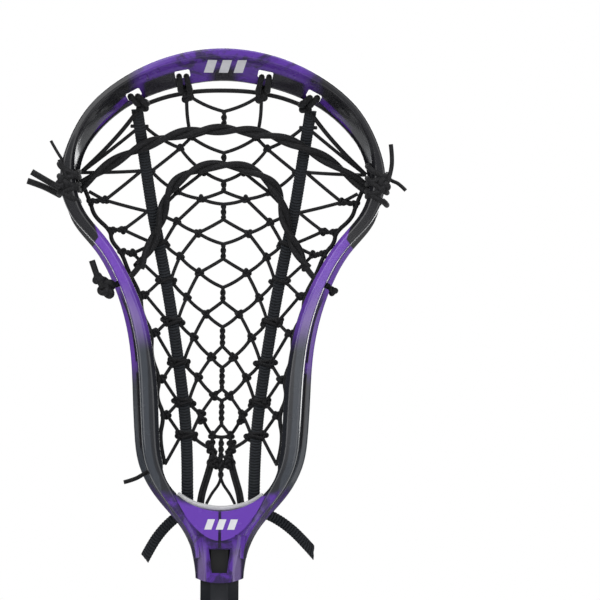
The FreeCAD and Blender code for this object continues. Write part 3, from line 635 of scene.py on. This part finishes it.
CLUSTER_KNOTS = ((1.6, -6.5), (1.2, -3.2), (-0.6, 2.6), (-0.9, 5.6))  # outwards and down
TOP_KNOT = (21.8, 284.6)
CORD = 1.05 * MM
KNOT = 2.3 * MM
# How far knots and wraps lie behind the pocket's surface, in millimetres.
INNER_BACK, OUTER_BACK, WRAP_BACK, CLUSTER_BACK = 0.3, 0.4, 0.5, 0.6
NET_BOW = 0.07  # how far a cord between two knots hangs, as a share of its length


print("rows of cells", len(RUNWAY))

# %% Cords of the runway net


def thong_side(z, side, edge):
    """The x where a cord meets a thong: edge -1 is its inner side, +1 its outer side."""
    return side * (along(THONG_LINE, z) + edge * 3.0)


def runway_net():
    net = cord_set("runway_net_cords", NET, CORD)

    def run(*places):
        """Lays a cord from each place to the next. It bows outwards and down a little."""
        for start, end in zip(places, places[1:]):
            start, end = at(*start), at(*end)
            outward = math.copysign(NET_BOW, start.x + end.x)
            middle = (start + end) / 2 + Vector((outward, 0, -NET_BOW)) * (end - start).length
            lay(net, [start, middle, end], CORD)

    def twist(top, foot, turns, phase=0.0):
        pair(net, at(0, top), at(0, foot), CORD * 0.9, CORD * 0.85, turns, phase)

    def wrap(z, side):
        return thong_side(z, side, -1), z, WRAP_BACK

    following = RUNWAY[1:] + [(LAST_PAIR[0], None, *LAST_KNOT, None, None, FOOT_WRAP)]
    for k, (top, foot, ix, iz, ox, oz, wz) in enumerate(RUNWAY):
        twist(top, foot, (top - foot) / 7.0, k * 0.7)
        next_top, _, next_x, next_z, _, _, next_wrap = following[k]
        for side in (-1, 1):
            inner, outer = (side * ix, iz, INNER_BACK), (side * ox, oz, OUTER_BACK)
            run((0, foot), inner, (0, next_top))
            run(inner, outer, (side * next_x, next_z, INNER_BACK))
            run(outer, wrap(wz, side))
            run(outer, wrap(next_wrap, side))
            size = KNOT * (0.9 + 0.04 * k)
            knot(net, at(*inner), size, CORD * 0.9, k + side, 0.3)
            knot(net, at(*outer), size, CORD * 0.9, 2 * k - side, -0.2)
            if k == len(RUNWAY) - 1:
                knot(net, at(side * (ox - 0.6), oz - 3.4, OUTER_BACK), size, CORD * 0.9, k, 0.4)
    twist(*LAST_PAIR, 2.0)
    twist(*FOOT_PAIR, 3.5)
    for side in (-1, 1):
        last = (side * LAST_KNOT[0], LAST_KNOT[1], INNER_BACK)
        cluster_x, cluster_z = side * CLUSTER[0], CLUSTER[1]
        run((0, LAST_PAIR[1]), last, (0, FOOT_PAIR[0]))
        run(last, (cluster_x, cluster_z, CLUSTER_BACK))
        run(wrap(FOOT_WRAP, side), (cluster_x, cluster_z + 3, CLUSTER_BACK))
        run((side * RUNWAY[-1][4], RUNWAY[-1][5], OUTER_BACK), last)
        knot(net, at(*last), KNOT, CORD * 0.82, side)
        for out, drop in CLUSTER_KNOTS:
            place = at(cluster_x + side * out, cluster_z - drop, CLUSTER_BACK)
            knot(net, place, KNOT * 1.1, CORD, drop)
        run((side * TOP_KNOT[0], TOP_KNOT[1] - 1), (side * RUNWAY[0][2], RUNWAY[0][3], INNER_BACK))
        run((side * (TOP_KNOT[0] - 2), TOP_KNOT[1] - 1), (0, RUNWAY[0][0]))
    return knit(net, ["runway_net"])


print("runway net faces", len(runway_net().data.polygons))

# %% [markdown]
# ## Side nets
# Each side net ties a thong to the wall. From the sidewall string's nodes, short doubled cords lead
# to crossings, and from there two cords spread to the wraps on the thong. Near the scoop two more
# cords spread from the wrap on the wall's widest part.

# %% Side nets
# Each row: the sidewall string's node x and z, the crossing's x and z, and the two wraps' heights.
SIDES = [
    (77.6, 221.5, 69.5, 222.6, 240.0, 216.3),
    (65.6, 204.8, 58.6, 205.4, 216.3, 197.6),
    (59.2, 192.2, 53.0, 191.6, 197.6, 176.0),
    (47.6, 167.2, 45.4, 167.4, 176.0, 152.0),
    (40.6, 145.0, 38.9, 145.2, 152.0, 127.7),
    (35.8, 118.0, 34.6, 118.2, 127.7, 104.4),
    (33.0, 96.8, 32.0, 97.0, 104.4, 85.0),
]
ANCHOR = (83.5, 238.6)
FAN = [263.5, 240.0]
FRAME_END = (32.8, 68.0)


def side_net(name, side):
    net = cord_set(f"{name}_side_net_cords", NET, CORD)

    def run(a, b, bow):
        start, end = at(side * a[0], a[1], INNER_BACK), at(side * b[0], b[1], OUTER_BACK)
        middle = (start + end) / 2 + Vector((0, bow, -bow * 0.4)) * MM
        lay(net, [start, middle, end], CORD)

    for k, (sx, sz, cx, cz, upper, lower) in enumerate(SIDES):
        if sx - cx > 4.0:
            pair(net, at(side * sx, sz, 0.2), at(side * cx, cz, 0.2), CORD * 0.9, CORD * 0.8, 1.2, k)
        for wrap in (upper, lower):
            run((cx, cz), (thong_side(wrap, 1, 1), wrap), 1.0)
        knot(net, at(side * cx, cz, 0.3), KNOT, CORD * 0.85, k + side)
        knot(net, at(side * sx, sz, 0.2), KNOT * 1.05, CORD * 0.9, 2 * k)
    for wrap in FAN:
        run(ANCHOR, (thong_side(wrap, 1, 1), wrap), 1.5)
    node_x, node_z, *crossing = SIDES[0][:4]
    run(crossing, (node_x + 1, node_z + 6), 0.5)
    run((thong_side(FOOT_WRAP, 1, 1), FOOT_WRAP), FRAME_END, 0.5)
    return knit(net, [f"{name}_side_net"])


for name, side in BOTH_SIDES:
    print(name, "side net faces", len(side_net(name, side).data.polygons))

# %% [markdown]
# ## Thongs
# A thong is a flat ribbed braid. A grid of faces is laid along a smooth line down the pocket, its
# ribs are pressed in as small V-shaped ridges, and a Solidify modifier gives it thickness. The grid
# keeps a UV map in metres, which the finish's chevrons of painted highlight and shade follow.

# %% Straps
THONG_WIDTH = 6.6 * MM
THONG_THICKNESS = 1.5 * MM
RIB_HEIGHT = 0.30 * MM
RIB_SPREAD = 0.05  # how far each rib stands out at the strap's edges
ACROSS = 10


def smooth_line(points, fine):
    """Closely spaced points along the smooth curve that a route's points control."""
    curve = bpy.data.curves.new("route", "CURVE")
    curve.dimensions = "3D"
    holder = bpy.data.objects.new("route", curve)
    spline = curve.splines.new("NURBS")
    spline.points.add(len(points) - 1)
    for point, place in zip(spline.points, points):
        point.co = (*place, 1.0)
    spline.order_u = 3
    spline.use_endpoint_u = True
    spline.resolution_u = fine
    mesh = bpy.data.meshes.new_from_object(holder)
    line = [v.co.copy() for v in mesh.vertices]
    bpy.data.objects.remove(holder)
    bpy.data.curves.remove(curve)
    bpy.data.meshes.remove(mesh)
    return line


def distances(line):
    """How far each point is along a line."""
    reach = [0.0]
    for a, b in zip(line, line[1:]):
        reach.append(reach[-1] + (b - a).length)
    return reach


def strap(name, line, width, replaced, cut=0.0):
    """A flat ribbed braid along a line, facing the open side; cut slants its last end."""
    bm = bmesh.new()
    bm.loops.layers.uv.new("braid")
    bmesh.ops.create_grid(bm, x_segments=len(line) - 1, y_segments=ACROSS, size=0.5, calc_uvs=True)
    reach = distances(line)
    rows = {}
    for vertex in bm.verts:
        i = round((vertex.co.x + 0.5) * (len(line) - 1))
        share = 2 * vertex.co.y
        ahead = (line[min(i + 1, len(line) - 1)] - line[max(i - 1, 0)]).normalized()
        across = ahead.cross(Vector((0, 1, 0))).normalized()
        outward = across.cross(ahead).normalized()
        lag = abs(share) * width / 2 * RIB_LEAN
        rib = abs(math.sin(math.pi * (reach[i] + lag) / RIB_PITCH))
        rise = rib * RIB_HEIGHT * (1 - share**4)
        half = width / 2 * (1 + RIB_SPREAD * (rib - 0.5))
        slant = cut * share * max(0.0, 1 - (reach[-1] - reach[i]) / (2 * width))
        rows[vertex] = (reach[i], share * width / 2)
        vertex.co = line[i] + across * (share * half) - outward * rise + ahead * slant
    uv = bm.loops.layers.uv.active
    for face in bm.faces:
        for corner in face.loops:
            corner[uv].uv = rows[corner.vert]
    piece = show(name, mesh_of(bm, name, THONG))
    thicken(piece, THONG_THICKNESS, 0.3)
    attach(piece, STICK)
    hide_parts(replaced)
    return piece


THONG_TOP = 276.0


def thong_route(side):
    route = [at(side * along(THONG_LINE, z), z) for z in spread(THONG_TOP, 54.0, 18)]
    return route + metres([(along(THONG_LINE, 46.0), 20.4, 46.5), (19.4, 21.3, 43.0)], side)


for name, side in BOTH_SIDES:
    line = smooth_line(thong_route(side), 30)
    strap(f"{name}_thong_braid", line, THONG_WIDTH, f"{name}_thong")
    print(name, "thong", round(distances(line)[-1] / MM), "mm")

# %% [markdown]
# The thongs' free ends come out from behind the throat and hang down to either side. They are the
# only loose cords on the stick.

# %% Thong tails
TAIL_LEFT = [(-16.0, 23.4, 42.4), (-22.8, 23.7, 39.2), (-29.2, 23.9, 34.4),
             (-35.2, 23.4, 28.0), (-40.2, 22.4, 20.6), (-44.2, 21.4, 12.8)]
TAIL_RIGHT = [(16.0, 23.4, 42.4), (23.6, 23.7, 40.6), (31.6, 23.9, 37.4),
              (39.6, 23.6, 32.2), (47.2, 22.6, 25.4), (54.8, 21.4, 17.0)]
TAIL_WIDTH = 5.9 * MM
TAIL_CUTS = {"left": 0.0013, "right": -0.0030}

for name, route in (("left", TAIL_LEFT), ("right", TAIL_RIGHT)):
    line = smooth_line(metres(route), 24)
    tail = strap(f"{name}_thong_tail_braid", line, TAIL_WIDTH, f"{name}_thong_tail", TAIL_CUTS[name])
    print(name, "tail", round(distances(line)[-1] / MM, 1), "mm")

# %% [markdown]
# ## Wraps on the thongs
# The top rows of the net pass behind the thongs. Lower down, the cord goes round the flat braid once
# or twice. Each turn is a closed loop, flattened to the strap's section and leaned a little.

# %% Thong wraps
WRAP_HEIGHTS = [266.0] + [row[6] for row in RUNWAY[1:]] + [FOOT_WRAP]
BARE_WRAPS = 3  # the top rows pass behind the thong
BULKY_WRAPS = 5  # from this row down, the cord goes round twice
BEHIND = Vector((0, 1.9, 0)) * MM
BEHIND_END = Vector((5.04, 0, 0)) * MM
LOOP_POINTS = 10
HALF_LOOP = (4.1 * MM, 1.8 * MM)
LOOP_KNOT = (4.4, 0.6)  # how far a wrap's knots lie beside it and above or below, in mm


def boxy_circle(turn, power_x, power_y):
    """A point of a circle of radius 1 that is squared off by powers below 1."""
    c, s = math.cos(2 * math.pi * turn), math.sin(2 * math.pi * turn)
    return math.copysign(abs(c) ** power_x, c), math.copysign(abs(s) ** power_y, s)


def strap_loop(piece, centre, ahead, radius, lean):
    """One turn of cord round the strap; ahead is the strap's direction."""
    across = ahead.cross(Vector((0, 1, 0))).normalized()
    outward = across.cross(ahead).normalized()
    points = []
    for i in range(LOOP_POINTS):
        c, s = boxy_circle(i / LOOP_POINTS, 0.6, 0.8)
        side, deep = across * (c * HALF_LOOP[0]), outward * (s * HALF_LOOP[1])
        points.append(centre + side + deep + ahead * (lean * c))
    lay(piece, points, radius, closed=True)


def thong_wraps(name, side):
    wraps = cord_set(f"{name}_thong_wraps", NET, CORD)
    for k, z in enumerate(WRAP_HEIGHTS):
        x = side * along(THONG_LINE, z)
        ahead = (at(side * along(THONG_LINE, z + 2), z + 2) - at(x, z)).normalized()
        if k < BARE_WRAPS:
            lay(wraps, [at(x, z) - BEHIND_END, at(x, z) + BEHIND, at(x, z) + BEHIND_END], CORD)
            continue
        turns = ((-1.1, 0.9), (1.1, -0.7)) if k >= BULKY_WRAPS else ((0.0, 0.8),)
        for offset, lean in turns:
            centre = at(x, z) + ahead * offset * MM
            strap_loop(wraps, centre, ahead, CORD, lean * MM * side)
        size = KNOT * (1.15 if k >= BULKY_WRAPS else 0.8)
        beside, rise = side * LOOP_KNOT[0], LOOP_KNOT[1]
        knot(wraps, at(x - beside, z - rise, 0.3), size, CORD * 0.9, k)
        knot(wraps, at(x + beside, z + rise, 0.3), size * 0.9, CORD * 0.9, k + 1)
    return knit(wraps)


for name, side in BOTH_SIDES:
    print(name, "wraps' faces", len(thong_wraps(name, side).data.polygons))

# %% [markdown]
# ## Shooting laces
# Two pairs of thicker laces cross the front of the pocket: a low arch near the scoop and an
# upside-down U below it. In each pair the laces are twisted round each other, so each lace is a
# helix about the pair's middle line, half a turn from its partner.

# %% Shooting laces
LACE_RADIUS = 1.8 * MM
TWIST_RADIUS = 1.85
TWIST_PITCH = 43.0
SHOOTING_GAP = 4.4  # how far the laces lie in front of the pocket
UPPER_REACH = 85.5
UPPER_CREST = 264.5
UPPER_DROP = 31.0  # how far the upper pair comes down over its span
UPPER_SPAN = 80.0
LOWER_LACE = [(0.0, 244.3), (12.5, 242.4), (23.0, 237.5), (30.5, 230.5), (34.6, 221.0),
              (36.8, 210.0), (40.8, 199.5), (45.8, 190.0), (49.4, 183.4)]


def upper_line(u):
    x = UPPER_REACH * (2 * u - 1)
    z = UPPER_CREST - UPPER_DROP * (abs(x) / UPPER_SPAN) ** 2.1
    return Vector((x, pocket_y(x, z) - SHOOTING_GAP, z))


def lower_line(u):
    share = abs(2 * u - 1) * (len(LOWER_LACE) - 1)
    x = math.copysign(along([(i, p[0]) for i, p in enumerate(LOWER_LACE)], share), u - 0.5)
    z = along([(i, p[1]) for i, p in enumerate(LOWER_LACE)], share)
    return Vector((x, pocket_y(x, z) - SHOOTING_GAP, z))


def twisted_lace(name, middle_line, length, phase, replaced):
    lace = cord_set(name, LACE, LACE_RADIUS, sides=3)
    turns = length / TWIST_PITCH
    count = int(round(turns * 8)) + 1
    points = []
    for i in range(count):
        u = i / (count - 1)
        ahead = middle_line(min(u + 0.01, 1.0)) - middle_line(max(u - 0.01, 0.0))
        across = ahead.cross(Vector((0, 1, 0))).normalized()
        angle = 2 * math.pi * turns * u + phase
        offset = across * math.cos(angle) + Vector((0, 1, 0)) * math.sin(angle)
        points.append((middle_line(u) + offset * TWIST_RADIUS) * MM)
    lay(lace, points, LACE_RADIUS, fine=5)
    return knit(lace, [replaced])


for name, line, length in (("upper", upper_line, 178.0), ("lower", lower_line, 190.0)):
    for letter, phase in (("a", 0.0), ("b", math.pi)):
        node = f"{name}_shooting_lace_{letter}"
        twisted_lace(f"{name}_lace_{letter}", line, length, phase, node)
print("shooting laces", 4)

# %% [markdown]
# ## Strings along the frame
# A string laced through the scoop's slots holds the top of the pocket, a corner string runs from
# each wall's wrap to a thong's top, and a sidewall string goes along the holes in each wall.
# At the throat, doubled laces draw the foot of the runway over the ball stop.

# %% Frame strings
STRING = 1.3 * MM
TOP_STRING = [(12.0, 15.4, 287.2), (25.0, 15.9, 285.2), (36.0, 16.8, 282.8), (44.6, 17.4, 279.4)]
CORNER_STRING = [(50.8, 15.2, 274.5), (56.2, 16.6, 267.4), (62.0, 17.4, 260.4),
                 (70.8, 19.0, 250.8), (80.4, 20.6, 241.6)]
SLOTS = [(24.2, 296.2, 22.6, 285.4), (52.6, 284.2, 47.6, 277.6)]  # slot x, z and foot x, z
HEAVY = 1.75 * MM
RIM_DEPTH = 9.0  # where the scoop's rear edge begins
FOOT_SPREAD = 1.35  # the two turns through a slot spread apart below it
head_tree = BVHTree.FromObject(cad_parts["head_frame"], bpy.context.evaluated_depsgraph_get())


def front_of(x, z, gap):
    """A point in front of the moulding at a place seen from the open side."""
    start = Vector((x * MM, -0.1, z * MM))
    hit = head_tree.ray_cast(start, Vector((0, 1, 0)))[0]
    return (hit or Vector((x, RIM_DEPTH, z)) * MM) - Vector((0, gap, 0))


def slot_loop(piece, x, z, foot_x, foot_z, radius):
    """A turn of lace out of a scoop slot, down the sloping face and round its rear edge."""
    outer = [front_of(x + (foot_x - x) * share, z + (foot_z - z) * share, radius)
             for share in (0.3, 0.45)]
    inside = Vector((x, 4.5, z - 0.6)) * MM
    foot = Vector((foot_x, 10.5, foot_z + 0.8)) * MM
    under = Vector((foot_x, 15.6, foot_z + 2.2)) * MM
    back = Vector((x, 14.0, z - 2.0)) * MM
    lay(piece, [inside, *outer, foot, under, back], radius, closed=True, fine=6)


def top_string():
    string = cord_set("top_string_cord", LACE, HEAVY)
    route = [(-x, y, z) for x, y, z in reversed(TOP_STRING)] + TOP_STRING
    lay(string, metres(route), STRING, fine=6)
    for side in (-1, 1):
        for rise, spin in ((4.4, side), (1.6, 2.0), (-1.2, 0.6)):
            place = Vector((side * (TOP_KNOT[0] + 0.2 * rise), 13.4, TOP_KNOT[1] + rise)) * MM
            knot(string, place, 3.1 * MM, STRING * 1.1, spin)
        knot(string, Vector((side * 47.6, 14.5, 277.5)) * MM, 3.2 * MM, STRING, side)
        for x, z, foot_x, foot_z in SLOTS:
            for shift in (-2.1, 2.1):
                foot = side * (foot_x + shift * FOOT_SPREAD)
                slot_loop(string, side * (x + shift), z, foot, foot_z, HEAVY)
    return knit(string, ["top_string"])


def corner_string(name, side):
    string = cord_set(f"{name}_corner_cord", LACE, STRING)
    route = metres(CORNER_STRING, side) + [at(side * ANCHOR[0], ANCHOR[1])]
    lay(string, route, STRING, fine=6)
    return knit(string, [f"{name}_corner_string"])


def sidewall_string(name, side):
    string = cord_set(f"{name}_sidewall_cord", LACE, STRING)
    nodes = [row[:2] for row in SIDES] + [FRAME_END]
    points = [at(side * ANCHOR[0], 234.0)]
    for (x, z), (_, below) in zip(nodes, nodes[1:]):
        points.append(at(side * (x + 0.3), z))
        mid = (z + below) / 2
        points.append(at(side * (along(WALL_LINE, mid) + 2.6), mid))
    points.append(at(side * FRAME_END[0], FRAME_END[1]))
    lay(string, points, STRING, fine=8)
    return knit(string, [f"{name}_sidewall_string"])


top_string()
for name, side in BOTH_SIDES:
    corner_string(name, side)
    sidewall_string(name, side)
print("frame strings", 5)

# %% Throat laces
def throat_lace(name, side):
    lace = cord_set(f"{name}_throat_cords", LACE, STRING)
    route = [(4.2, 30.4, 76.0), (6.0, 27.4, 68.0), (8.6, 24.4, 59.0), (11.4, 21.4, 50.0),
             (12.0, 20.6, 44.0)]
    for shift in (-1.05, 1.05):
        lay(lace, [Vector((side * x + shift, y, z)) * MM for x, y, z in route], STRING * 0.9)
    knot(lace, Vector((side * 4.6, 29.0, 70.0)) * MM, 3.4 * MM, STRING, side)
    return knit(lace, [f"{name}_throat_lace"])


ends = cord_set("runway_end_cords", NET, CORD)
for name, side in BOTH_SIDES:
    throat_lace(name, side)
    route = [(0.9, 25.6, 57.0), (3.0, 23.6, 54.0), (6.0, 21.4, 50.0), (8.4, 20.6, 45.0)]
    lay(ends, [at(0.0, FOOT_PAIR[1] + 2.0)] + metres(route, side), CORD * 0.9)
knit(ends, ["runway_end_strings"])
print("throat laces", 2)

# %% [markdown]
# ## Wraps, knots and ends on the walls
# At each wall's widest part the laces are bound round the frame and their cut ends stand out. The
# lower pair is knotted outside the left wall, where its cut end stands up, and ends in a bead on
# the right.

# %% Wall wraps and lace ends
TURNS = 5
WRAP_HALF_WIDTH = 5.8 * MM
WRAP_LEAN = (-4.2 * MM, 3.0 * MM)  # how far a turn rises to its outer side, one by one
TURN_POINTS = 12


def wall_wrap(name, side):
    wrap = cord_set(f"{name}_wall_wrap", LACE, LACE_RADIUS, sides=3)
    low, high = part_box(f"{name}_rail_wrap")
    centre = (Vector(low) + Vector(high)) / 2
    half = (Vector(high) - Vector(low)) / 2
    for turn in range(TURNS):
        z = low[2] + (turn + 0.7) / (TURNS + 0.4) * (high[2] - low[2])
        slope = WRAP_LEAN[turn % 2]
        points = []
        for i in range(TURN_POINTS):
            t = 2 * math.pi * i / TURN_POINTS
            c, s = boxy_circle(i / TURN_POINTS, 0.55, 0.55)
            rise = slope * math.cos(t) + 0.6 * MM * math.sin(t)
            points.append(Vector((centre.x + c * WRAP_HALF_WIDTH,
                                  centre.y + s * (half.y - LACE_RADIUS), z + rise)))
        lay(wrap, points, LACE_RADIUS * 0.95, closed=True, fine=5)
    knot(wrap, Vector((centre.x + side * WRAP_HALF_WIDTH * 0.6, centre.y - half.y * 0.9, centre.z)),
         3.4 * MM, LACE_RADIUS * 0.9, side)
    return knit(wrap, [f"{name}_rail_wrap"])


LEFT_ENDS = [
    ([(-95.0, -2.0, 229.0), (-98.0, 1.0, 230.6), (-104.8, -0.8, 234.4), (-111.6, -1.6, 238.4)], 1.85),
    ([(-95.0, 3.0, 225.0), (-98.0, 5.6, 226.6), (-106.0, 4.4, 230.6), (-114.2, 3.4, 233.2)], 1.85),
    ([(-90.0, -7.0, 238.0), (-92.5, -6.6, 244.0), (-96.5, -6.4, 249.5), (-100.4, -6.2, 256.5)], 0.9),
    ([(-91.0, -8.0, 234.0), (-93.0, -8.6, 240.0), (-95.4, -8.8, 245.6)], 1.1),
]
RIGHT_ENDS = [
    ([(96.0, -6.0, 234.0), (98.0, -4.0, 240.5), (98.6, -4.6, 248.4), (97.6, -5.0, 256.2)], 1.3),
    ([(96.0, 0.0, 237.0), (98.0, 2.0, 235.0), (102.6, 1.0, 233.6), (106.6, 0.4, 229.4)], 1.1),
]

for name, side, routes in (("left", -1, LEFT_ENDS), ("right", 1, RIGHT_ENDS)):
    wall_wrap(name, side)
    cords = cord_set(f"{name}_lace_end_cords", LACE, LACE_RADIUS, sides=3)
    for route, radius in routes:
        lay(cords, metres(route), radius * MM, fine=6)
    knit(cords, [f"{name}_shooting_lace_ends"])
print("wall wraps", 2, "with", TURNS, "turns")

# %% Knots of the lower laces
KNOT_LACE = 1.85 * MM
left_knot = cord_set("left_lace_knot_cord", LACE, LACE_RADIUS, sides=3)
for place, size, spin in (((-67.8, -2.0, 172.4), 4.7, 0.4), ((-67.2, -1.4, 169.9), 4.4, 1.5),
                          ((-72.2, -2.6, 176.4), 2.3, 0.9)):
    knot(left_knot, Vector(place) * MM, size * MM, KNOT_LACE, spin)
thick_end = [(-69.5, -3.0, 171.5), (-71.8, -3.6, 175.2), (-73.8, -3.8, 180.6), (-76.0, -3.8, 187.0)]
lay(left_knot, metres(thick_end), KNOT_LACE, fine=6)
for side in (-1, 1):
    _, depth, height = lower_line(1.0)
    for shift in (-1.4, 1.4):
        route = [(LOWER_LACE[-1][0], depth + shift, height), (53.0, 19.0 + shift, 178.5),
                 (56.5, 12.0 + shift, 175.5), (62.0, 3.0, 173.0)]
        lay(left_knot, metres(route, side), KNOT_LACE * 0.95, fine=6)
knit(left_knot, ["left_lace_knot"])
right_knot = cord_set("right_lace_knot_cord", LACE, KNOT_LACE, sides=3)
knot(right_knot, Vector((64.6, 2.0, 170.4)) * MM, 2.4 * MM, KNOT_LACE * 0.6, 0.4)
knit(right_knot, ["right_lace_knot"])

string_end = cord_set("left_string_end_cord", LACE, STRING)
route = [(-41.0, 6.0, 64.6), (-44.9, 5.0, 62.6), (-50.0, 4.2, 59.4), (-56.4, 3.4, 57.7)]
lay(string_end, metres(route), STRING * 0.95, fine=6)
knit(string_end, ["left_string_end"])
print("knots of the lower laces", 2)

# %% [markdown]
# ## Ball stop
# A strip of pale closed-cell foam is glued round the foot of the opening, where the ball comes to
# rest. A grid is bent along the opening's curve, then thickened and softened, as a cut foam strip is.

# %% Foam finish and strip
STOP_THICKNESS = 2.3 * MM
STOP_MARGIN = 0.8 * MM  # the strip ends this far inside the room that it has
STOP_ARC = [(-25.0, 0, 51.3), (-18.5, 0, 46.8), (-9.5, 0, 44.0), (0, 0, 42.8),
            (9.5, 0, 44.0), (18.5, 0, 46.8), (25.0, 0, 51.3)]


def stop_foam():
    f = Finish("stop_foam", Sheen_Weight=0.2, Specular_IOR_Level=0.25)
    cell = f.add("TexVoronoi", {"Vector": f.place(), "Scale": 900.0})
    f.colour(f.mix(cell.outputs["Distance"], (0.50, 0.50, 0.505, 1), (0.36, 0.36, 0.37, 1)))
    f.rough(f.noise(400.0), 0.75, 0.95)
    f.bump(cell.outputs["Distance"], 0.6)
    return f


def ball_stop():
    low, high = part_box("ball_stop_pad")
    arc = smooth_line(metres(STOP_ARC), 10)
    bm = bmesh.new()
    bmesh.ops.create_grid(bm, x_segments=len(arc) - 1, y_segments=12, size=0.5)
    for vertex in bm.verts:
        place = arc[round((vertex.co.x + 0.5) * (len(arc) - 1))]
        y = low[1] + STOP_MARGIN + (vertex.co.y + 0.5) * (high[1] - low[1] - 2 * STOP_MARGIN)
        vertex.co = Vector((place.x, y, place.z))
    piece = show("ball_stop_foam", mesh_of(bm, "ball_stop_foam", stop_foam()))
    thicken(piece, STOP_THICKNESS, 0.35, 3)
    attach(piece, STICK)
    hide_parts("ball_stop_pad")
    return piece


print("ball stop", ball_stop().name)

# %% [markdown]
# ## Printed marks
# The maker's lettering is replaced by plain slanted bars in silver-white ink: one group on the scoop,
# one on the throat and two on the handle's front flat. Each bar is a thin plate. On the curved head,
# a ray from the front finds the surface under every corner, so that the print lies on it.

# %% Printed marks
INK_PROUD = 0.12 * MM
BAR_SHARE = 0.62  # a bar's share of its cell
BAR_SLANT = 0.35


def ink():
    f = Finish("silver_ink", Specular_IOR_Level=0.5)
    f.colour(f.mix(f.noise(300.0), (0.50, 0.50, 0.53, 1), (0.66, 0.66, 0.69, 1)))
    f.rough(f.noise(700.0), 0.30, 0.45)
    f.bump(f.noise(1500.0), 0.08)
    return f


INK = ink()
shaft_tree = BVHTree.FromObject(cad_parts["shaft"], bpy.context.evaluated_depsgraph_get())
surfaces = {"head_frame": head_tree, "shaft": shaft_tree}


def bars(name, node, centre, width, height, count, upright=False):
    """Slanted bars laid on a surface that faces the open side."""
    bm = bmesh.new()
    cell = width / count
    for i in range(count):
        made = bmesh.ops.create_grid(bm, x_segments=8, y_segments=6, size=0.5)["verts"]
        bmesh.ops.scale(bm, vec=(cell * BAR_SHARE, height, 1), verts=made)
        for vertex in made:
            vertex.co.x += vertex.co.y * BAR_SLANT + (i - (count - 1) / 2) * cell
    for vertex in bm.verts:
        x, z = (vertex.co.y, vertex.co.x) if upright else (vertex.co.x, vertex.co.y)
        start = Vector((centre[0] + x, -0.1, centre[1] + z))
        hit = surfaces[node].ray_cast(start, Vector((0, 1, 0)))[0]
        vertex.co = (hit or start) - Vector((0, INK_PROUD, 0))
    bmesh.ops.recalc_face_normals(bm, faces=bm.faces)
    piece = show(name, mesh_of(bm, name, INK), smooth=False)
    thicken(piece, INK_PROUD)
    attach(piece, STICK)
    return piece


bars("scoop_bars", "head_frame", (0.0008, 0.3008), 0.026, 0.0070, 3)
bars("throat_bars", "head_frame", (0.0008, 0.0342), 0.020, 0.0060, 3)
bars("handle_bars_upper", "shaft", (0.0, -0.200), 0.066, 0.0085, 7, upright=True)
bars("handle_bars_lower", "shaft", (0.0, -0.440), 0.080, 0.0095, 3, upright=True)
print("printed marks", 4)

# %% [markdown]
# ## Floor and light
# A pale floor lies under the butt cap, far below the head. Large soft lights on both sides, above
# and behind draw broad highlights along the glossy walls, and the surround keeps shadows open.

# %% Floor and light
bm = bmesh.new()
bmesh.ops.create_grid(bm, x_segments=1, y_segments=1, size=6.0)
bmesh.ops.translate(bm, vec=(0, 0, cad_box[0][2]), verts=bm.verts)
paper = Finish("floor_paper", Roughness=0.9)
paper.colour(paper.mix(paper.noise(3.0), (0.86, 0.86, 0.86, 1), (0.9, 0.9, 0.9, 1)))
floor = show("floor", mesh_of(bm, "floor", paper), smooth=False)

# The surround is darker at both sides, so that the head's outward faces stay glossy black. What
# the camera sees behind the stick is plain white.
world = bpy.data.worlds.new("studio")
bpy.context.scene.world = world
world.use_nodes = True
world.node_tree.nodes.clear()
studio = Nodes(world.node_tree)
direction = studio.add("SeparateXYZ", {0: studio.add("TexCoord").outputs["Generated"]})
sideways = studio.math("ABSOLUTE", direction.outputs[0])
strength = studio.add("MapRange", {0: sideways, 1: 0.35, 2: 0.80, 3: 0.42, 4: 0.10}).outputs[0]
lit = studio.add("Background", {"Color": (0.95, 0.97, 1.0, 1), "Strength": strength})
seen = studio.add("Background", {"Color": (1, 1, 1, 1)})
rays = studio.add("LightPath").outputs["Is Camera Ray"]
choose = studio.add("MixShader", {0: rays, 1: lit.outputs[0], 2: seen.outputs[0]})
studio.add("OutputWorld", {0: choose.outputs[0]})

LIGHTS = [
    ("key", (-0.9, -1.3, 1.0), 1.8, 26.0),
    ("fill", (1.1, -1.1, 0.5), 1.8, 16.0),
    ("top", (0.0, -0.2, 1.5), 1.4, 12.0),
    ("back", (0.3, 1.4, 0.7), 1.4, 12.0),
]
for name, place, size, power in LIGHTS:
    data = bpy.data.lights.new(name, "AREA")
    data.size = size
    data.energy = power
    lamp = bpy.data.objects.new(name, data)
    bpy.context.collection.objects.link(lamp)
    lamp.location = place
    lamp.rotation_euler = (AIM - Vector(place)).to_track_quat("-Z", "Y").to_euler()
bpy.context.scene.view_settings.view_transform = "Standard"
print("lights", len(LIGHTS))
